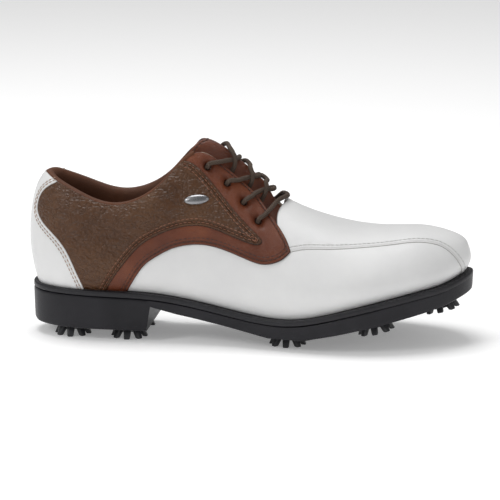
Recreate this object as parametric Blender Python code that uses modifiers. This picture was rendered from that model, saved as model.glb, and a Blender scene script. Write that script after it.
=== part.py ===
"""A right golf shoe: welted outsole with nine twist-in cleats, a saddle upper, a padded tongue and a lace.

Lengths are in millimetres until a point is placed, and then in metres. +X runs to the toe, -Y is the outer
(lateral) side and +Z is up. The shoe is drawn from the back of its heel, and its pieces hang from an empty
that puts the origin on the ground, under the middle of the shoe.
"""
import math

import bmesh
import bpy
import numpy as np
from mathutils import Matrix, Vector
from mathutils.geometry import delaunay_2d_cdt

MM = 0.001
MIDDLE = (151.25, -0.1, 0)   # the middle of the shoe's footprint, from the back of the heel
TONGUE_HINGE = (186, 5, 78)  # the fold where the tongue is sewn in, across the shoe

# ---- driving dimensions of the sole ----
EDGE = 5.5            # the sole stands out this far beyond the feather line
WELT_THICK = 4.0
WELT_REACH = -5.0     # the welt's inner edge, inside the feather line
FIT = 0.3             # air between neighbouring pieces
CLEAT_DROP = 8.0      # from the outsole's underside to the tips of a cleat's legs
HEEL_BREAST = 84.0    # the heel block's front
BREAST_RAKE = 2.5
# x and height of the outsole's underside
UNDERSIDE = [(-4, 9), (5, CLEAT_DROP), (HEEL_BREAST, CLEAT_DROP), (HEEL_BREAST + BREAST_RAKE, 25),
             (104, 20.5), (122, 17), (140, 13.5), (156, 10.3), (168, CLEAT_DROP), (193, CLEAT_DROP),
             (201, 10), (213, 12.5), (228, 16), (243, 19.3), (258, 23), (273, 26.3), (288, 30),
             (306, 36.5)]

# ---- driving dimensions of the upper, measured outwards from its reference surface ----
VAMP = (-1.4, 0.0)
SADDLE = (-1.4, 0.9)
QUARTER = (-1.4, 1.6)
STIFFENER = (-2.8, -2.1)
LINING = (-4.6, -3.5)
COLLAR_PAD = (-5.0, -2.8)
COLLAR_SWELL = 2.4    # how far the padded collar pushes its lining further in
FOOT = 0.04           # the upper's lower edge, just above the welt, as a part of the first line spacing
LACE_R = 1.5
EYELET_R = 2.7

# ---- the upper's reference surface: five lines from the back of the heel to the toe ----
# each station is (x, y on the lateral side, y on the medial side, z)
FEATHER = [(5, 0, 0, 35.5), (7.5, -10.5, 9.5, 35.5), (15, -19.5, 17.5, 35.5), (32, -28, 25, 35.5),
           (58, -31, 28, 35), (90, -31, 25, 33.5), (122, -32, 22.5, 28.5), (153, -37, 25.5, 23),
           (185, -44.5, 37, 21.5), (217, -48.5, 47, 28.5), (246, -44.5, 47, 36), (270, -33, 39.5, 41),
           (287, -19, 28.5, 44.5), (298.5, 4, 4, 49)]
BULGE = [(0.5, 0, 0, 58), (3, -12, 11, 58), (11, -23, 20.5, 58), (30, -33, 29.5, 57),
         (57, -36, 32.5, 55), (89, -35.5, 31, 52), (121, -36.5, 29.5, 48), (152, -42, 33.5, 43),
         (184, -49, 44, 40), (216, -52.5, 52, 43), (246, -48, 51.5, 48), (271, -36.5, 42.5, 51),
         (289, -21, 31, 53.5), (301.8, 4, 4, 57)]
SHOULDER = [(1, 0, 0, 84), (3.5, -11, 10, 84), (11.5, -21, 19, 83), (30, -30.5, 27.5, 80),
            (58, -33, 30.5, 76), (90, -32.5, 30.5, 79), (119, -30, 31, 86), (147, -34, 35, 77),
            (178, -40, 42, 63), (212, -43, 47, 60), (243, -40, 46, 61.5), (268, -31, 38.5, 63.5),
            (286.5, -18, 28.5, 65), (300, 4, 4, 66)]
TOPLINE = [(10, 0, 0, 110), (12.5, -8.5, 8, 110), (19, -16.5, 15.5, 107), (36, -24, 23, 99.5),
           (62, -28, 27, 93), (92, -25, 26, 106.5), (115, -12, 21, 128), (139, -10, 20, 114),
           (165, -13, 22, 93), (205, -22, 29, 77.5), (238, -21, 28, 73), (262, -16.5, 23.5, 74.5),
           (280, -9, 17, 74.5), (292.5, 4, 4, 73)]
CREST = [(26, 1, 1, 125), (28, 1, 1, 125), (34, 1, 1, 124), (48, 2, 2, 120),
         (70, 3, 3, 118), (97, 4, 4, 130), (119, 5, 5, 136), (144, 5, 5, 121),
         (174, 5, 5, 96), (206, 5, 5, 81.5), (236, 4.5, 4.5, 77), (257, 4, 4, 77.5),
         (270, 4, 4, 77.8), (277, 4, 4, 77.5)]
STATIONS = len(FEATHER)
TOE = STATIONS - 1          # station number at the toe
CREST_LINE = 4              # line number of the crest; the lines beyond it belong to the medial side
OVER = 2 * CREST_LINE       # line number of the medial feather line

# ---- seams, as (station, line) control points on the lateral side ----
HEEL_SEAM = [(2.12, 3.0), (1.6, 2.62), (1.45, 2.3), (1.7, 2.0), (2.5, 1.62), (3.05, 1.05), (3.36, FOOT)]
QUARTER_FRONT = [(5.62, 3.0), (6.14, 2.66), (6.64, 2.44), (7.1, 2.29), (7.5, 2.18), (7.57, 2.1),
                 (7.4, 2.0), (7.0, 1.93), (6.4, 1.91), (5.6, 1.92), (5.1, 1.87), (4.74, 1.66),
                 (4.44, 1.2), (4.14, 0.58), (3.9, FOOT)]
BAND_LOW = [(4.38, FOOT), (4.54, 0.46), (4.76, 1.0), (5.0, 1.3), (5.3, 1.5), (5.7, 1.6), (6.4, 1.64),
            (7.2, 1.64), (7.6, 1.73), (7.94, 1.94), (8.22, 2.18)]
FACING_FRONT = [(6.68, 3.0), (7.1, 3.04), (7.62, 3.06), (7.96, 2.86), (8.14, 2.62), (8.22, 2.4), (8.22, 2.18)]
APRON_SEAM = [(8.22, 2.18), (8.6, 2.34), (9.0, 2.45), (9.5, 2.6), (10.0, 2.7), (10.8, 2.75), (11.4, 2.67),
              (11.85, 2.45), (12.12, 2.04), (12.3, 1.48), (12.5, 0.6), (12.62, FOOT)]
THROAT = [(8.14, 2.62), (8.2, 3.1), (8.14, 3.6), (8.04, 4.0)]
EYELETS = [(6.34, 2.76), (6.88, 2.72), (7.34, 2.64), (7.66, 2.48)]

# ---- cleats: x and y of each on the underside ----
CLEATS = [(29, -14), (29, 14), (69, -17), (69, 15), (180, -26), (181, 26), (239, -25), (240, 28), (281, 4)]


# ================ the reference surface ================
def spline_curvatures(count, closed):
    """Matrix from a row's values to its second derivatives, for the smooth curve through them."""
    left, right = np.eye(count), np.zeros((count, count))
    for row in range(count) if closed else range(1, count - 1):
        before, after = (row - 1) % count, (row + 1) % count
        left[row, row] = 4
        left[row, before] = left[row, after] = 1
        right[row, before] = right[row, after] = 6
        right[row, row] = -12
    return np.linalg.solve(left, right)


def spline_weights(curvatures, where, closed):
    """Share of each of the row's values at the places asked for."""
    count = len(curvatures)
    where = np.atleast_1d(np.asarray(where, float))
    cell = np.floor(where).astype(int)
    if not closed:
        cell = np.clip(cell, 0, count - 2)
    part = where - cell
    rows, first, second = np.arange(len(where)), cell % count, (cell + 1) % count
    weights = ((1 - part) ** 3 - (1 - part))[:, None] * curvatures[first] / 6
    weights += (part ** 3 - part)[:, None] * curvatures[second] / 6
    weights[rows, first] += 1 - part
    weights[rows, second] += part
    return weights


def station_grid():
    """The lines as a loop of stations: round the lateral side to the toe and back along the medial side."""
    lines = [FEATHER, BULGE, SHOULDER, TOPLINE, CREST]
    half = np.zeros((STATIONS, OVER + 1, 3))
    for number, line in enumerate(lines):
        for station, (x, lateral, medial, z) in enumerate(line):
            half[station, number] = (x, lateral, z)
            half[station, OVER - number] = (x, medial, z)
    loop = [half[s] for s in range(STATIONS)]
    loop += [half[s][::-1] for s in range(TOE - 1, 0, -1)]
    return np.array(loop)


GRID = station_grid()
ALONG = spline_curvatures(len(GRID), True)
ACROSS = spline_curvatures(OVER + 1, False)


def surface(u, v):
    """Points of the reference surface at stations u and lines v; a negative station is a medial one."""
    return np.einsum("ni,ijk,nj->nk", spline_weights(ALONG, u, True), GRID, spline_weights(ACROSS, v, False))


def stretch(u, v):
    """Directions along and across the surface, as millimetres for one unit of station and of line."""
    step = 0.02
    u = np.where(u > TOE - step, TOE - step, np.asarray(u, float))
    v = np.asarray(v, float)
    along = (surface(u + step, v) - surface(u - step, v)) / (2 * step)
    across = (surface(u, v + step) - surface(u, v - step)) / (2 * step)
    return along, across


def lifted(u, v, height):
    """Points that stand off the reference surface by height, outwards when it is positive."""
    along, across = stretch(u, v)
    normal = np.cross(along, across)
    normal[np.asarray(u) > TOE - 1e-6, 1] = 0  # the two sides meet square to the toe's middle plane
    normal /= np.linalg.norm(normal, axis=1)[:, None]
    return surface(u, v) + normal * np.asarray(height, float).reshape(-1, 1)


def shaped(u, v, depth, height):
    """Points at a height over the surface that the depth gives, square to that surface."""
    if depth is None:
        return lifted(u, v, np.full(len(u), float(height)))
    step = 0.02
    u_in = np.where(u > TOE - step, TOE - step, u)
    along = lifted(u_in + step, v, depth(u_in + step, v)) - lifted(u_in - step, v, depth(u_in - step, v))
    across = lifted(u_in, v + step, depth(u_in, v + step)) - lifted(u_in, v - step, depth(u_in, v - step))
    normal = np.cross(along, across)
    normal /= np.linalg.norm(normal, axis=1)[:, None]
    return lifted(u, v, depth(u, v)) + normal * height


def stacked(u, v, depth, height):
    """Points at a height over the depth, square to the reference surface, where a stack bends tightly."""
    return lifted(u, v, depth(u, v) + height)


def ease(low, high, value):
    """Smooth step from 0 at low to 1 at high."""
    part = np.clip((np.asarray(value, float) - low) / (high - low), 0, 1)
    return part * part * (3 - 2 * part)


# ================ outlines ================
def curve_through(points, count):
    """Evenly numbered points of the smooth curve through the control points."""
    points = np.array(points, float)
    where = np.linspace(0, len(points) - 1, count)
    return spline_weights(spline_curvatures(len(points), False), where, False) @ points


def mirrored(points):
    """The same run on the other side of the crest, in the opposite order."""
    return np.array([(u, OVER - v) for u, v in points[::-1]])


def run(start, end, count):
    return np.linspace(start, end, count)


def joined(*runs):
    """A closed outline from runs that meet end to end."""
    points = []
    for piece in runs:
        for point in piece:
            if not points or np.hypot(*(np.array(point) - points[-1])) > 1e-6:
                points.append(np.array(point, float))
    if np.hypot(*(points[0] - points[-1])) < 1e-6:
        points.pop()
    return np.array(points)


def millimetres(u, v):
    """What one unit of station and one of line measure: the station's length, and the line's two shares."""
    along, across = stretch(u, v)
    length = np.linalg.norm(along, axis=1)
    shear = np.sum(along * across, axis=1) / length
    square = np.sqrt(np.sum(across * across, axis=1) - shear ** 2)
    return length, shear, square


def drawn_in(outline, by):
    """The outline moved inwards by a distance in millimetres on the surface; the toe line stays put."""
    area = np.sum(outline[:, 0] * np.roll(outline[:, 1], -1) - outline[:, 1] * np.roll(outline[:, 0], -1))
    length, shear, square = millimetres(outline[:, 0], outline[:, 1])

    def measured(step):
        real = np.stack([step[:, 0] * length + step[:, 1] * shear, step[:, 1] * square], 1)
        return real / np.linalg.norm(real, axis=1)[:, None]

    before = measured(outline - np.roll(outline, 1, 0))
    after = measured(np.roll(outline, -1, 0) - outline)
    tangent = before + after
    tangent /= np.linalg.norm(tangent, axis=1)[:, None]
    inward = np.stack([-tangent[:, 1], tangent[:, 0]], 1) * np.sign(area)
    corner = np.clip(np.sum(tangent * before, 1), 0.6, 1)
    real = inward * (by / corner)[:, None]
    lines = real[:, 1] / square
    moved = outline + np.stack([(real[:, 0] - lines * shear) / length, lines], 1)
    on_toe = np.abs(outline[:, 0] - TOE) < 1e-6
    moved[on_toe] = outline[on_toe]
    return moved


def inside(point, outline):
    """Whether a flat point is inside a closed outline."""
    x, y = point
    x0, y0 = outline[:, 0], outline[:, 1]
    x1, y1 = np.roll(x0, -1), np.roll(y0, -1)
    spans = (y0 > y) != (y1 > y)
    cross_at = x0 + (y - y0) * (x1 - x0) / np.where(spans, y1 - y0, 1)
    return np.count_nonzero(spans & (x < cross_at)) % 2 == 1


# ================ meshes ================
def material(name, colour, roughness, metallic=0.0):
    shade = bpy.data.materials.new(name)
    shade.use_nodes = True
    surface_node = shade.node_tree.nodes["Principled BSDF"]
    surface_node.inputs["Base Color"].default_value = (*colour, 1)
    surface_node.inputs["Roughness"].default_value = roughness
    surface_node.inputs["Metallic"].default_value = metallic
    shade.diffuse_color = (*colour, 1)
    return shade


def object_from(name, mesh, shade, collection):
    piece = bpy.data.objects.new(name, mesh)
    collection.objects.link(piece)
    if shade:
        mesh.materials.clear()
        mesh.materials.append(shade)
    mesh.shade_smooth()
    return piece


def pattern(outline, holes, pitch):
    """A flat leather pattern: its outline and holes filled with triangles of about the pitch."""
    low, high = outline.min(0), outline.max(0)
    points, edges = [], []
    for loop in [outline, *holes]:
        start = len(points)
        points += [Vector(p) for p in loop]
        edges += [(start + i, start + (i + 1) % len(loop)) for i in range(len(loop))]
    rim = np.array([tuple(p) for p in points])
    rows = max(1, round((high[1] - low[1]) / (2 * pitch[1])))
    for row in range(-rows, rows):
        v = (low[1] + high[1]) / 2 + (row + 0.5) * pitch[1]
        for u in np.arange(low[0] + pitch[0] / 2, high[0], pitch[0]):
            near = np.min(np.hypot((rim[:, 0] - u) / pitch[0], (rim[:, 1] - v) / pitch[1]))
            if near > 0.5 and inside((u, v), outline):
                points.append(Vector((u, v)))
    corners, _, faces, *_ = delaunay_2d_cdt(points, edges, [], 0, 1e-7)
    corners = np.array([tuple(p) for p in corners])
    kept = []
    for face in faces:
        middle = corners[list(face)].mean(0)
        if inside(middle, outline) and not any(inside(middle, hole) for hole in holes):
            kept.append(list(face))
    return corners, kept


def panel(name, outline, layer, shade, collection, holes=(), pitch=(0.5, 0.5), depth=None, place=shaped):
    """One piece of the upper: a flat pattern laid at its inner height and extruded to its outer one.

    The layer is its inner and outer height over the surface, or over the depth when one is given.
    """
    flat, faces = pattern(drawn_in(outline, FIT * 0.7), holes, pitch)
    inner, outer = (place(flat[:, 0], flat[:, 1], depth, height) for height in layer)
    sheet = bmesh.new()
    number_of = sheet.verts.layers.int.new("number")
    verts = [sheet.verts.new(Vector(point) * MM) for point in inner]
    for number, vert in enumerate(verts):
        vert[number_of] = number
    for face in faces:
        sheet.faces.new([verts[i] for i in face][::-1])
    bmesh.ops.remove_doubles(sheet, verts=sheet.verts, dist=0.02 * MM)
    raised = bmesh.ops.extrude_face_region(sheet, geom=sheet.faces[:], use_keep_orig=True)
    for vert in raised["geom"]:
        if isinstance(vert, bmesh.types.BMVert):
            vert.co = Vector(outer[vert[number_of]]) * MM
    bmesh.ops.recalc_face_normals(sheet, faces=sheet.faces)
    mesh = bpy.data.meshes.new(name)
    sheet.to_mesh(mesh)
    sheet.free()
    return object_from(name, mesh, shade, collection)


def sole_outline(beyond, count=52):
    """The feather line seen from above, moved outwards by a distance."""
    where = np.linspace(0, len(GRID), count, endpoint=False)
    line = surface(where, np.zeros(count))[:, :2]
    along = np.roll(line, -1, 0) - np.roll(line, 1, 0)
    along /= np.linalg.norm(along, axis=1)[:, None]
    return line + np.stack([along[:, 1], -along[:, 0]], 1) * beyond


def welt_top(x):
    """Height of the welt's upper face along the shoe."""
    line = surface(np.linspace(0, TOE, 80), np.zeros(80))
    return np.interp(x, [-6, *line[:, 0], 308], [line[0, 2], *line[:, 2], line[-1, 2] + 4])


def underside(x):
    table = np.array(UNDERSIDE, float)
    return np.interp(x, table[:, 0], table[:, 1])


CUTS = sorted([x for x, _ in UNDERSIDE[1:-1]] + [30, 58, 94, 296])


def strip_height(x, profile):
    """A profile's height, straight between the cuts, so that each strip of a slab is flat."""
    ends = [-6, *CUTS, 310]
    return float(np.interp(x, ends, [float(profile(e)) for e in ends]))


def slab(name, outline, top, bottom, shade, collection):
    """A plate with the outline seen from above, its faces following two height profiles."""
    plate = bmesh.new()
    ring = [plate.verts.new((x * MM, y * MM, 0)) for x, y in outline]
    plate.faces.new(ring)
    for x in CUTS:
        geometry = plate.verts[:] + plate.edges[:] + plate.faces[:]
        bmesh.ops.bisect_plane(plate, geom=geometry, plane_co=(x * MM, 0, 0), plane_no=(1, 0, 0))
    bmesh.ops.recalc_face_normals(plate, faces=plate.faces)
    if plate.faces[:][0].normal.z < 0:
        bmesh.ops.reverse_faces(plate, faces=plate.faces)
    lower = bmesh.ops.extrude_face_region(plate, geom=plate.faces[:])
    upper = {item for item in lower["geom"] if isinstance(item, bmesh.types.BMVert)}
    for vert in plate.verts:
        profile = top if vert in upper else bottom
        vert.co.z = strip_height(vert.co.x / MM, profile) * MM
    bmesh.ops.recalc_face_normals(plate, faces=plate.faces)
    mesh = bpy.data.meshes.new(name)
    plate.to_mesh(mesh)
    plate.free()
    piece = object_from(name, mesh, shade, collection)
    mesh.set_sharp_from_angle(angle=math.radians(35))
    return piece


def cut_away(piece, cutter):
    """Takes the cutter's shape out of the piece."""
    cutter.hide_render = True
    cutter.display_type = "WIRE"
    cut = piece.modifiers.new("cut", "BOOLEAN")
    cut.operation = "DIFFERENCE"
    cut.solver = "EXACT"
    cut.object = cutter


def turned(name, profile, steps, shade, collection):
    """A turned solid from (radius, height) points listed top to bottom, closed on its axis."""
    mesh = bpy.data.meshes.new(name)
    corners = [(radius * MM, 0, height * MM) for radius, height in profile]
    mesh.from_pydata(corners, [(i, i + 1) for i in range(len(corners) - 1)], [])
    piece = object_from(name, mesh, shade, collection)
    screw = piece.modifiers.new("turn", "SCREW")
    screw.steps = screw.render_steps = steps
    screw.use_merge_vertices = True
    screw.merge_threshold = 0.00005
    return piece


def baked(piece):
    """Applies a piece's modifiers to its own mesh."""
    graph = bpy.context.evaluated_depsgraph_get()
    mesh = bpy.data.meshes.new_from_object(piece.evaluated_get(graph))
    piece.modifiers.clear()
    piece.data = mesh
    return mesh


# ================ the sole ================
def build_sole(collection, cutters, looks):
    outer = sole_outline(EDGE)
    seat = WELT_THICK + FIT / 2
    outsole = slab("outsole", outer, lambda x: welt_top(x) - seat, underside, looks["rubber"], collection)

    welt = slab("welt", outer, welt_top, lambda x: welt_top(x) - WELT_THICK + FIT / 2, looks["welt"],
                collection)
    clear = 10.0  # how far a cutter runs past the faces it cuts
    hole = slab("welt_opening", sole_outline(WELT_REACH), lambda x: welt_top(x) + clear,
                lambda x: welt_top(x) - clear, None, cutters)
    cut_away(welt, hole)

    midsole = slab("midsole", sole_outline(WELT_REACH - FIT), lambda x: welt_top(x) - FIT,
                   lambda x: welt_top(x) - WELT_THICK + FIT / 2, looks["cork"], collection)
    half_width, first, last, plate = 6.0, 70.0, 160.0, 1.4
    strip = [(first, -half_width), (last, -half_width), (last, half_width), (first, half_width)]
    low = WELT_THICK - FIT
    slab("shank", strip, lambda x: welt_top(x) - low + plate, lambda x: welt_top(x) - low, looks["steel"],
         collection)
    wider = [(x + FIT * (1 if x == last else -1), y + math.copysign(FIT, y)) for x, y in strip]
    bed = slab("shank_bed", wider, lambda x: welt_top(x) - low + plate + FIT, lambda x: welt_top(x) - clear,
               None, cutters)
    cut_away(midsole, bed)

    board, cushion = 2.0, 3.6
    board_inset, cushion_inset = -6.4, -5.8
    slab("insole_board", sole_outline(board_inset), lambda x: welt_top(x) + FIT + board,
         lambda x: welt_top(x) + FIT, looks["board"], collection)
    slab("sockliner", sole_outline(cushion_inset), lambda x: welt_top(x) + 2 * FIT + board + cushion,
         lambda x: welt_top(x) + 2 * FIT + board, looks["lining"], collection)
    return outsole


# the sizes of a cleat and of the socket it twists into
SOCKET_R, SOCKET_DEEP = 8.6, 5.4
BORE_R, BORE_DEEP = 5.3, 4.4
STEM_R, STEM_LONG = 5.0, 4.0
FLANGE_R, LEG_COUNT = 9.5, 8
# a leg's two ends: distance from the cleat's axis, thickness, width and height
TIP = (11.4, 2.6, 3.2, -CLEAT_DROP)
ROOT = (7.4, 4.2, 4.4, -1.1)


def cleat_frame(x, y):
    """Where a cleat sits: the origin on the underside and +Z into the sole, square to it."""
    reach = 6
    slope = float(underside(x + reach) - underside(x - reach)) / (2 * reach)
    place = Matrix.Translation((x * MM, y * MM, float(underside(x)) * MM))
    return place @ Matrix.Rotation(-math.atan(slope), 4, "Y")


def cleat_mesh(collection, looks):
    """A dome with a smooth round stem and eight splayed legs, in one piece."""
    rim_low, dome_low = -1.6, -3.6
    dome = [(0, STEM_LONG), (STEM_R, STEM_LONG), (STEM_R, -FIT), (FLANGE_R, -FIT), (FLANGE_R, rim_low),
            (FLANGE_R - 3.5, dome_low), (0, dome_low)]
    body = turned("cleat_body", dome, 12, looks["cleat"], collection)
    mesh = baked(body)
    legs = bmesh.new()
    for number in range(LEG_COUNT):
        leg = bmesh.ops.create_cube(legs, size=1)["verts"]
        for vert in leg:
            if vert.co.z < 0:
                centre, thick, wide, height = TIP
            else:
                centre, thick, wide, height = ROOT
            vert.co = Vector((centre + vert.co.x * thick, vert.co.y * wide, height)) * MM
        turn = Matrix.Rotation(2 * math.pi * number / LEG_COUNT, 3, "Z")
        bmesh.ops.rotate(legs, verts=leg, cent=(0, 0, 0), matrix=turn)
    leg_mesh = bpy.data.meshes.new("cleat_legs")
    legs.to_mesh(leg_mesh)
    legs.free()
    leg_piece = object_from("cleat_legs", leg_mesh, looks["cleat"], collection)
    body.data = mesh
    join = body.modifiers.new("legs", "BOOLEAN")
    join.operation = "UNION"
    join.solver = "EXACT"
    join.use_self = True
    join.object = leg_piece
    whole = baked(body)
    bpy.data.objects.remove(body)
    bpy.data.objects.remove(leg_piece)
    return whole


def build_cleats(collection, cutters, looks, outsole):
    cup = [(0, SOCKET_DEEP), (SOCKET_R, SOCKET_DEEP), (SOCKET_R, 0.2), (BORE_R, 0.2), (BORE_R, BORE_DEEP),
           (0, BORE_DEEP)]
    shape = cleat_mesh(collection, looks)
    for number, (x, y) in enumerate(CLEATS, 1):
        frame = cleat_frame(x, y)
        pocket_deep = SOCKET_DEEP + FIT
        pocket = turned(f"pocket_{number}", [(0, pocket_deep), (SOCKET_R + FIT, pocket_deep),
                                             (SOCKET_R + FIT, -6), (0, -6)], 12, None, cutters)
        pocket.matrix_world = frame
        cut_away(outsole, pocket)
        socket = turned(f"cleat_socket_{number}", cup, 12, looks["socket"], collection)
        socket.matrix_world = frame
        cleat = object_from(f"cleat_{number}", shape, looks["cleat"], collection)
        cleat.matrix_world = frame


# ================ the upper ================
def both_sides(name, outline, layer, shade, collection, holes=(), pitch=(0.5, 0.5)):
    """The lateral piece and its medial twin."""
    panel(name + "_lateral", outline, layer, shade, collection, holes, pitch)
    twin_holes = [mirrored(hole) for hole in holes]
    panel(name + "_medial", mirrored(outline), layer, shade, collection, twin_holes, pitch)


def oval(centre, long_half, short_half, count):
    """An oval on the surface, as stations and lines."""
    length, shear, square = (float(share[0]) for share in millimetres(*np.array([[c] for c in centre])))
    turn = np.arange(count) * 2 * math.pi / count
    lines = short_half * np.sin(turn) / square
    return np.stack([centre[0] + (long_half * np.cos(turn) - lines * shear) / length, centre[1] + lines], 1)


def build_upper(collection, looks):
    white, tan, brown = looks["white"], looks["tan"], looks["brown"]
    heel_seam = curve_through(HEEL_SEAM, 15)
    quarter_front = curve_through(QUARTER_FRONT, 31)
    band_low = curve_through(BAND_LOW, 19)
    facing_front = curve_through(FACING_FRONT, 13)
    apron = curve_through(APRON_SEAM, 22)
    throat = curve_through(THROAT, 7)
    split = int(np.argmin(np.hypot(*(facing_front - THROAT[0]).T)))
    eyelets = [oval(centre, EYELET_R, EYELET_R, 10) for centre in EYELETS]

    saddle = joined(band_low, facing_front[::-1], run((6.68, 3), (5.62, 3), 6), quarter_front,
                    run((3.9, FOOT), (4.38, FOOT), 3))
    both_sides("saddle", saddle, SADDLE, tan, collection, eyelets)

    quarter = joined(run((3.36, FOOT), (3.9, FOOT), 3), quarter_front[::-1],
                     run((5.62, 3), (2.12, 3), 12), heel_seam)
    both_sides("quarter", quarter, QUARTER, brown, collection)

    side = joined(run((4.38, FOOT), (12.62, FOOT), 28), apron[::-1], band_low[::-1])
    both_sides("vamp_side", side, VAMP, white, collection, pitch=(0.5, 0.45))

    edge = facing_front[split:][::-1]
    edge_runs = [apron[::-1], edge, throat, mirrored(throat), mirrored(edge), mirrored(apron[::-1])]
    centre = joined(*edge_runs, run((12.62, OVER - FOOT), (TOE, OVER - FOOT), 3),
                    run((TOE, OVER - FOOT), (TOE, FOOT), 20),
                    run((TOE, FOOT), (12.62, FOOT), 3))
    panel("vamp_centre", centre[::-1], VAMP, white, collection, pitch=(0.4, 0.42))

    back = [(-u, v) for u, v in heel_seam]
    cover = joined(run((-3.36, FOOT), (3.36, FOOT), 17), heel_seam[::-1], run((2.12, 3), (-2.12, 3), 11),
                   back)
    panel("heel_cover", cover, QUARTER, white, collection)


def build_inside(collection, looks):
    """The hidden layers: counter, toe puff, collar pad, eyelet stays and the two linings."""
    counter = joined(run((-3.7, FOOT), (3.7, FOOT), 17), run((3.7, FOOT), (3.2, 1.5), 4),
                     run((3.2, 1.5), (2.2, 2.0), 3), run((2.2, 2.0), (-2.2, 2.0), 11),
                     run((-2.2, 2.0), (-3.2, 1.5), 3), run((-3.2, 1.5), (-3.7, FOOT), 4))
    panel("counter_stiffener", counter, STIFFENER, looks["board"], collection)

    puff = joined(run((11.0, FOOT), (TOE, FOOT), 7), run((TOE, FOOT), (TOE, OVER - FOOT), 18),
                  run((TOE, OVER - FOOT), (11.0, OVER - FOOT), 7),
                  run((11.0, OVER - FOOT), (11.0, FOOT), 15))
    panel("toe_puff", puff, STIFFENER, looks["board"], collection, pitch=(0.32, 0.5))

    pad = joined(run((-5.3, 2.25), (5.3, 2.25), 23), run((5.3, 2.25), (5.3, 2.86), 3),
                 run((5.3, 2.86), (-5.3, 2.86), 23), run((-5.3, 2.86), (-5.3, 2.25), 3))
    panel("collar_pad", pad, COLLAR_PAD, looks["foam"], collection)

    holes = [oval(centre, EYELET_R + FIT, EYELET_R + FIT, 10) for centre in EYELETS]
    stay = joined(curve_through([(6.1, 2.9), (6.0, 2.62), (6.6, 2.42), (7.3, 2.24), (7.9, 2.2), (8.05, 2.4),
                                 (8.0, 2.62), (7.88, 2.8), (7.56, 2.97), (7.1, 2.94), (6.6, 2.92),
                                 (6.1, 2.9)], 34))
    both_sides("eyelet_stay", stay, STIFFENER, looks["board"], collection, holes)

    def swell(u, v):
        """How much further in the collar's lining lies over the pad."""
        ends = 1 - ease(5.4, 5.95, np.abs(u))
        return -COLLAR_SWELL * ease(1.5, 2.1, v) * ends

    back = joined(run((-5.95, FOOT), (5.95, FOOT), 25), run((5.95, FOOT), (5.95, 2.55), 8),
                  run((5.95, 2.55), (5.62, 2.97), 3), run((5.62, 2.97), (-5.62, 2.97), 29),
                  run((-5.62, 2.97), (-5.95, 2.55), 3), run((-5.95, 2.55), (-5.95, FOOT), 8))
    panel("quarter_lining", back, LINING, looks["lining"], collection, pitch=(0.5, 0.45), depth=swell)

    arm = curve_through([(5.97, 2.3), (6.6, 2.16), (7.3, 2.05), (7.95, 2.08), (8.2, 2.5), (8.28, 3.1),
                         (8.22, 3.6), (8.16, 4.0)], 19)
    front = joined(run((5.97, FOOT), (TOE, FOOT), 21), run((TOE, FOOT), (TOE, OVER - FOOT), 18),
                   run((TOE, OVER - FOOT), (5.97, OVER - FOOT), 21),
                   run((5.97, OVER - FOOT), (5.97, OVER - 2.3), 7), mirrored(arm[::-1]), arm[::-1],
                   run((5.97, 2.3), (5.97, FOOT), 7))
    panel("vamp_lining", front, LINING, looks["lining"], collection, pitch=(0.6, 0.55))


def tongue_height(u, v):
    """The tongue's upper face: just under the crest, and well under the facings and the vamp."""
    aside = (np.asarray(v, float) - CREST_LINE) ** 2
    beside = aside / (1 + aside ** 4) ** 0.25
    under_vamp = ease(7.5, 8.1, u)
    return -1.0 - 7.3 * np.maximum(beside, under_vamp)


def build_tongue(collection, looks):
    half = curve_through([(6.0, 4.0), (5.78, 3.62), (5.5, 3.25), (5.28, 2.95), (5.5, 2.75), (6.0, 2.66),
                          (6.7, 2.62), (7.4, 2.6), (8.0, 2.62), (8.4, 2.9), (8.54, 3.4), (8.58, 4.0)], 33)
    outline = joined(half, mirrored(half))
    leather, foam, cloth = 1.3, 3.0, 1.1
    top = 0
    layers = [("outer", leather, "tan"), ("pad", foam, "foam"), ("lining", cloth, "lining")]
    for name, thick, look in layers:
        panel("tongue_" + name, outline, (top - thick, top), looks[look], collection, (), (0.45, 0.32),
              tongue_height, stacked)
        top -= thick + FIT


# ================ lace ================
OVER_FACING = SADDLE[1] + LACE_R + FIT + 0.1
UNDER_FACING = STIFFENER[0] - LACE_R - FIT - 0.2
LOW_CROSSING = -1.0 + LACE_R + FIT + 0.3
HIGH_CROSSING = LOW_CROSSING + 2 * LACE_R + 0.5


def strand(row, from_medial):
    """One strand: out of an eyelet, over its facing, across the tongue and under the other facing.

    The strand that starts on the medial side lies on top where the two cross, near the lateral facing.
    """
    u0, v0 = EYELETS[row]
    u1, v1 = EYELETS[row + 1]
    lean = ((u1 - u0) / (EYELETS[1][0] - EYELETS[0][0])) ** 0.6
    points = [(u0, v0, UNDER_FACING), (u0, v0, -2.4), (u0, v0, 0.9), (u0 + 0.05, v0 + 0.05, OVER_FACING)]
    if from_medial:
        over = [(0.17, 3.08, OVER_FACING + 0.1), (0.26, 3.5, 2.5), (0.32, 4.0, LOW_CROSSING + 0.6),
                (0.38, 4.34, 3.4), (0.47, 4.5, HIGH_CROSSING), (0.58, 4.6, HIGH_CROSSING - 0.5),
                (0.67, 4.72, 0.8), (0.7, 4.83, -2.9), (0.68, 5.02, UNDER_FACING)]
    else:
        over = [(0.31, v0 + 0.21, OVER_FACING + 0.1), (0.46, v0 + 0.39, OVER_FACING - 0.2),
                (0.57, 3.4, LOW_CROSSING), (0.61, 3.75, LOW_CROSSING), (0.61, 4.3, LOW_CROSSING - 0.5),
                (0.62, 4.62, -1.6), (0.63, 4.83, -3.3), (0.6, 5.02, UNDER_FACING)]
    points += [(u0 + along * lean, v, h) for along, v, h in over]
    points.append((u1 - 0.02, OVER - v1 - 0.08, UNDER_FACING - 0.1))
    if from_medial:
        points = [(u, OVER - v, h) for u, v, h in points]
    return points


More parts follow.
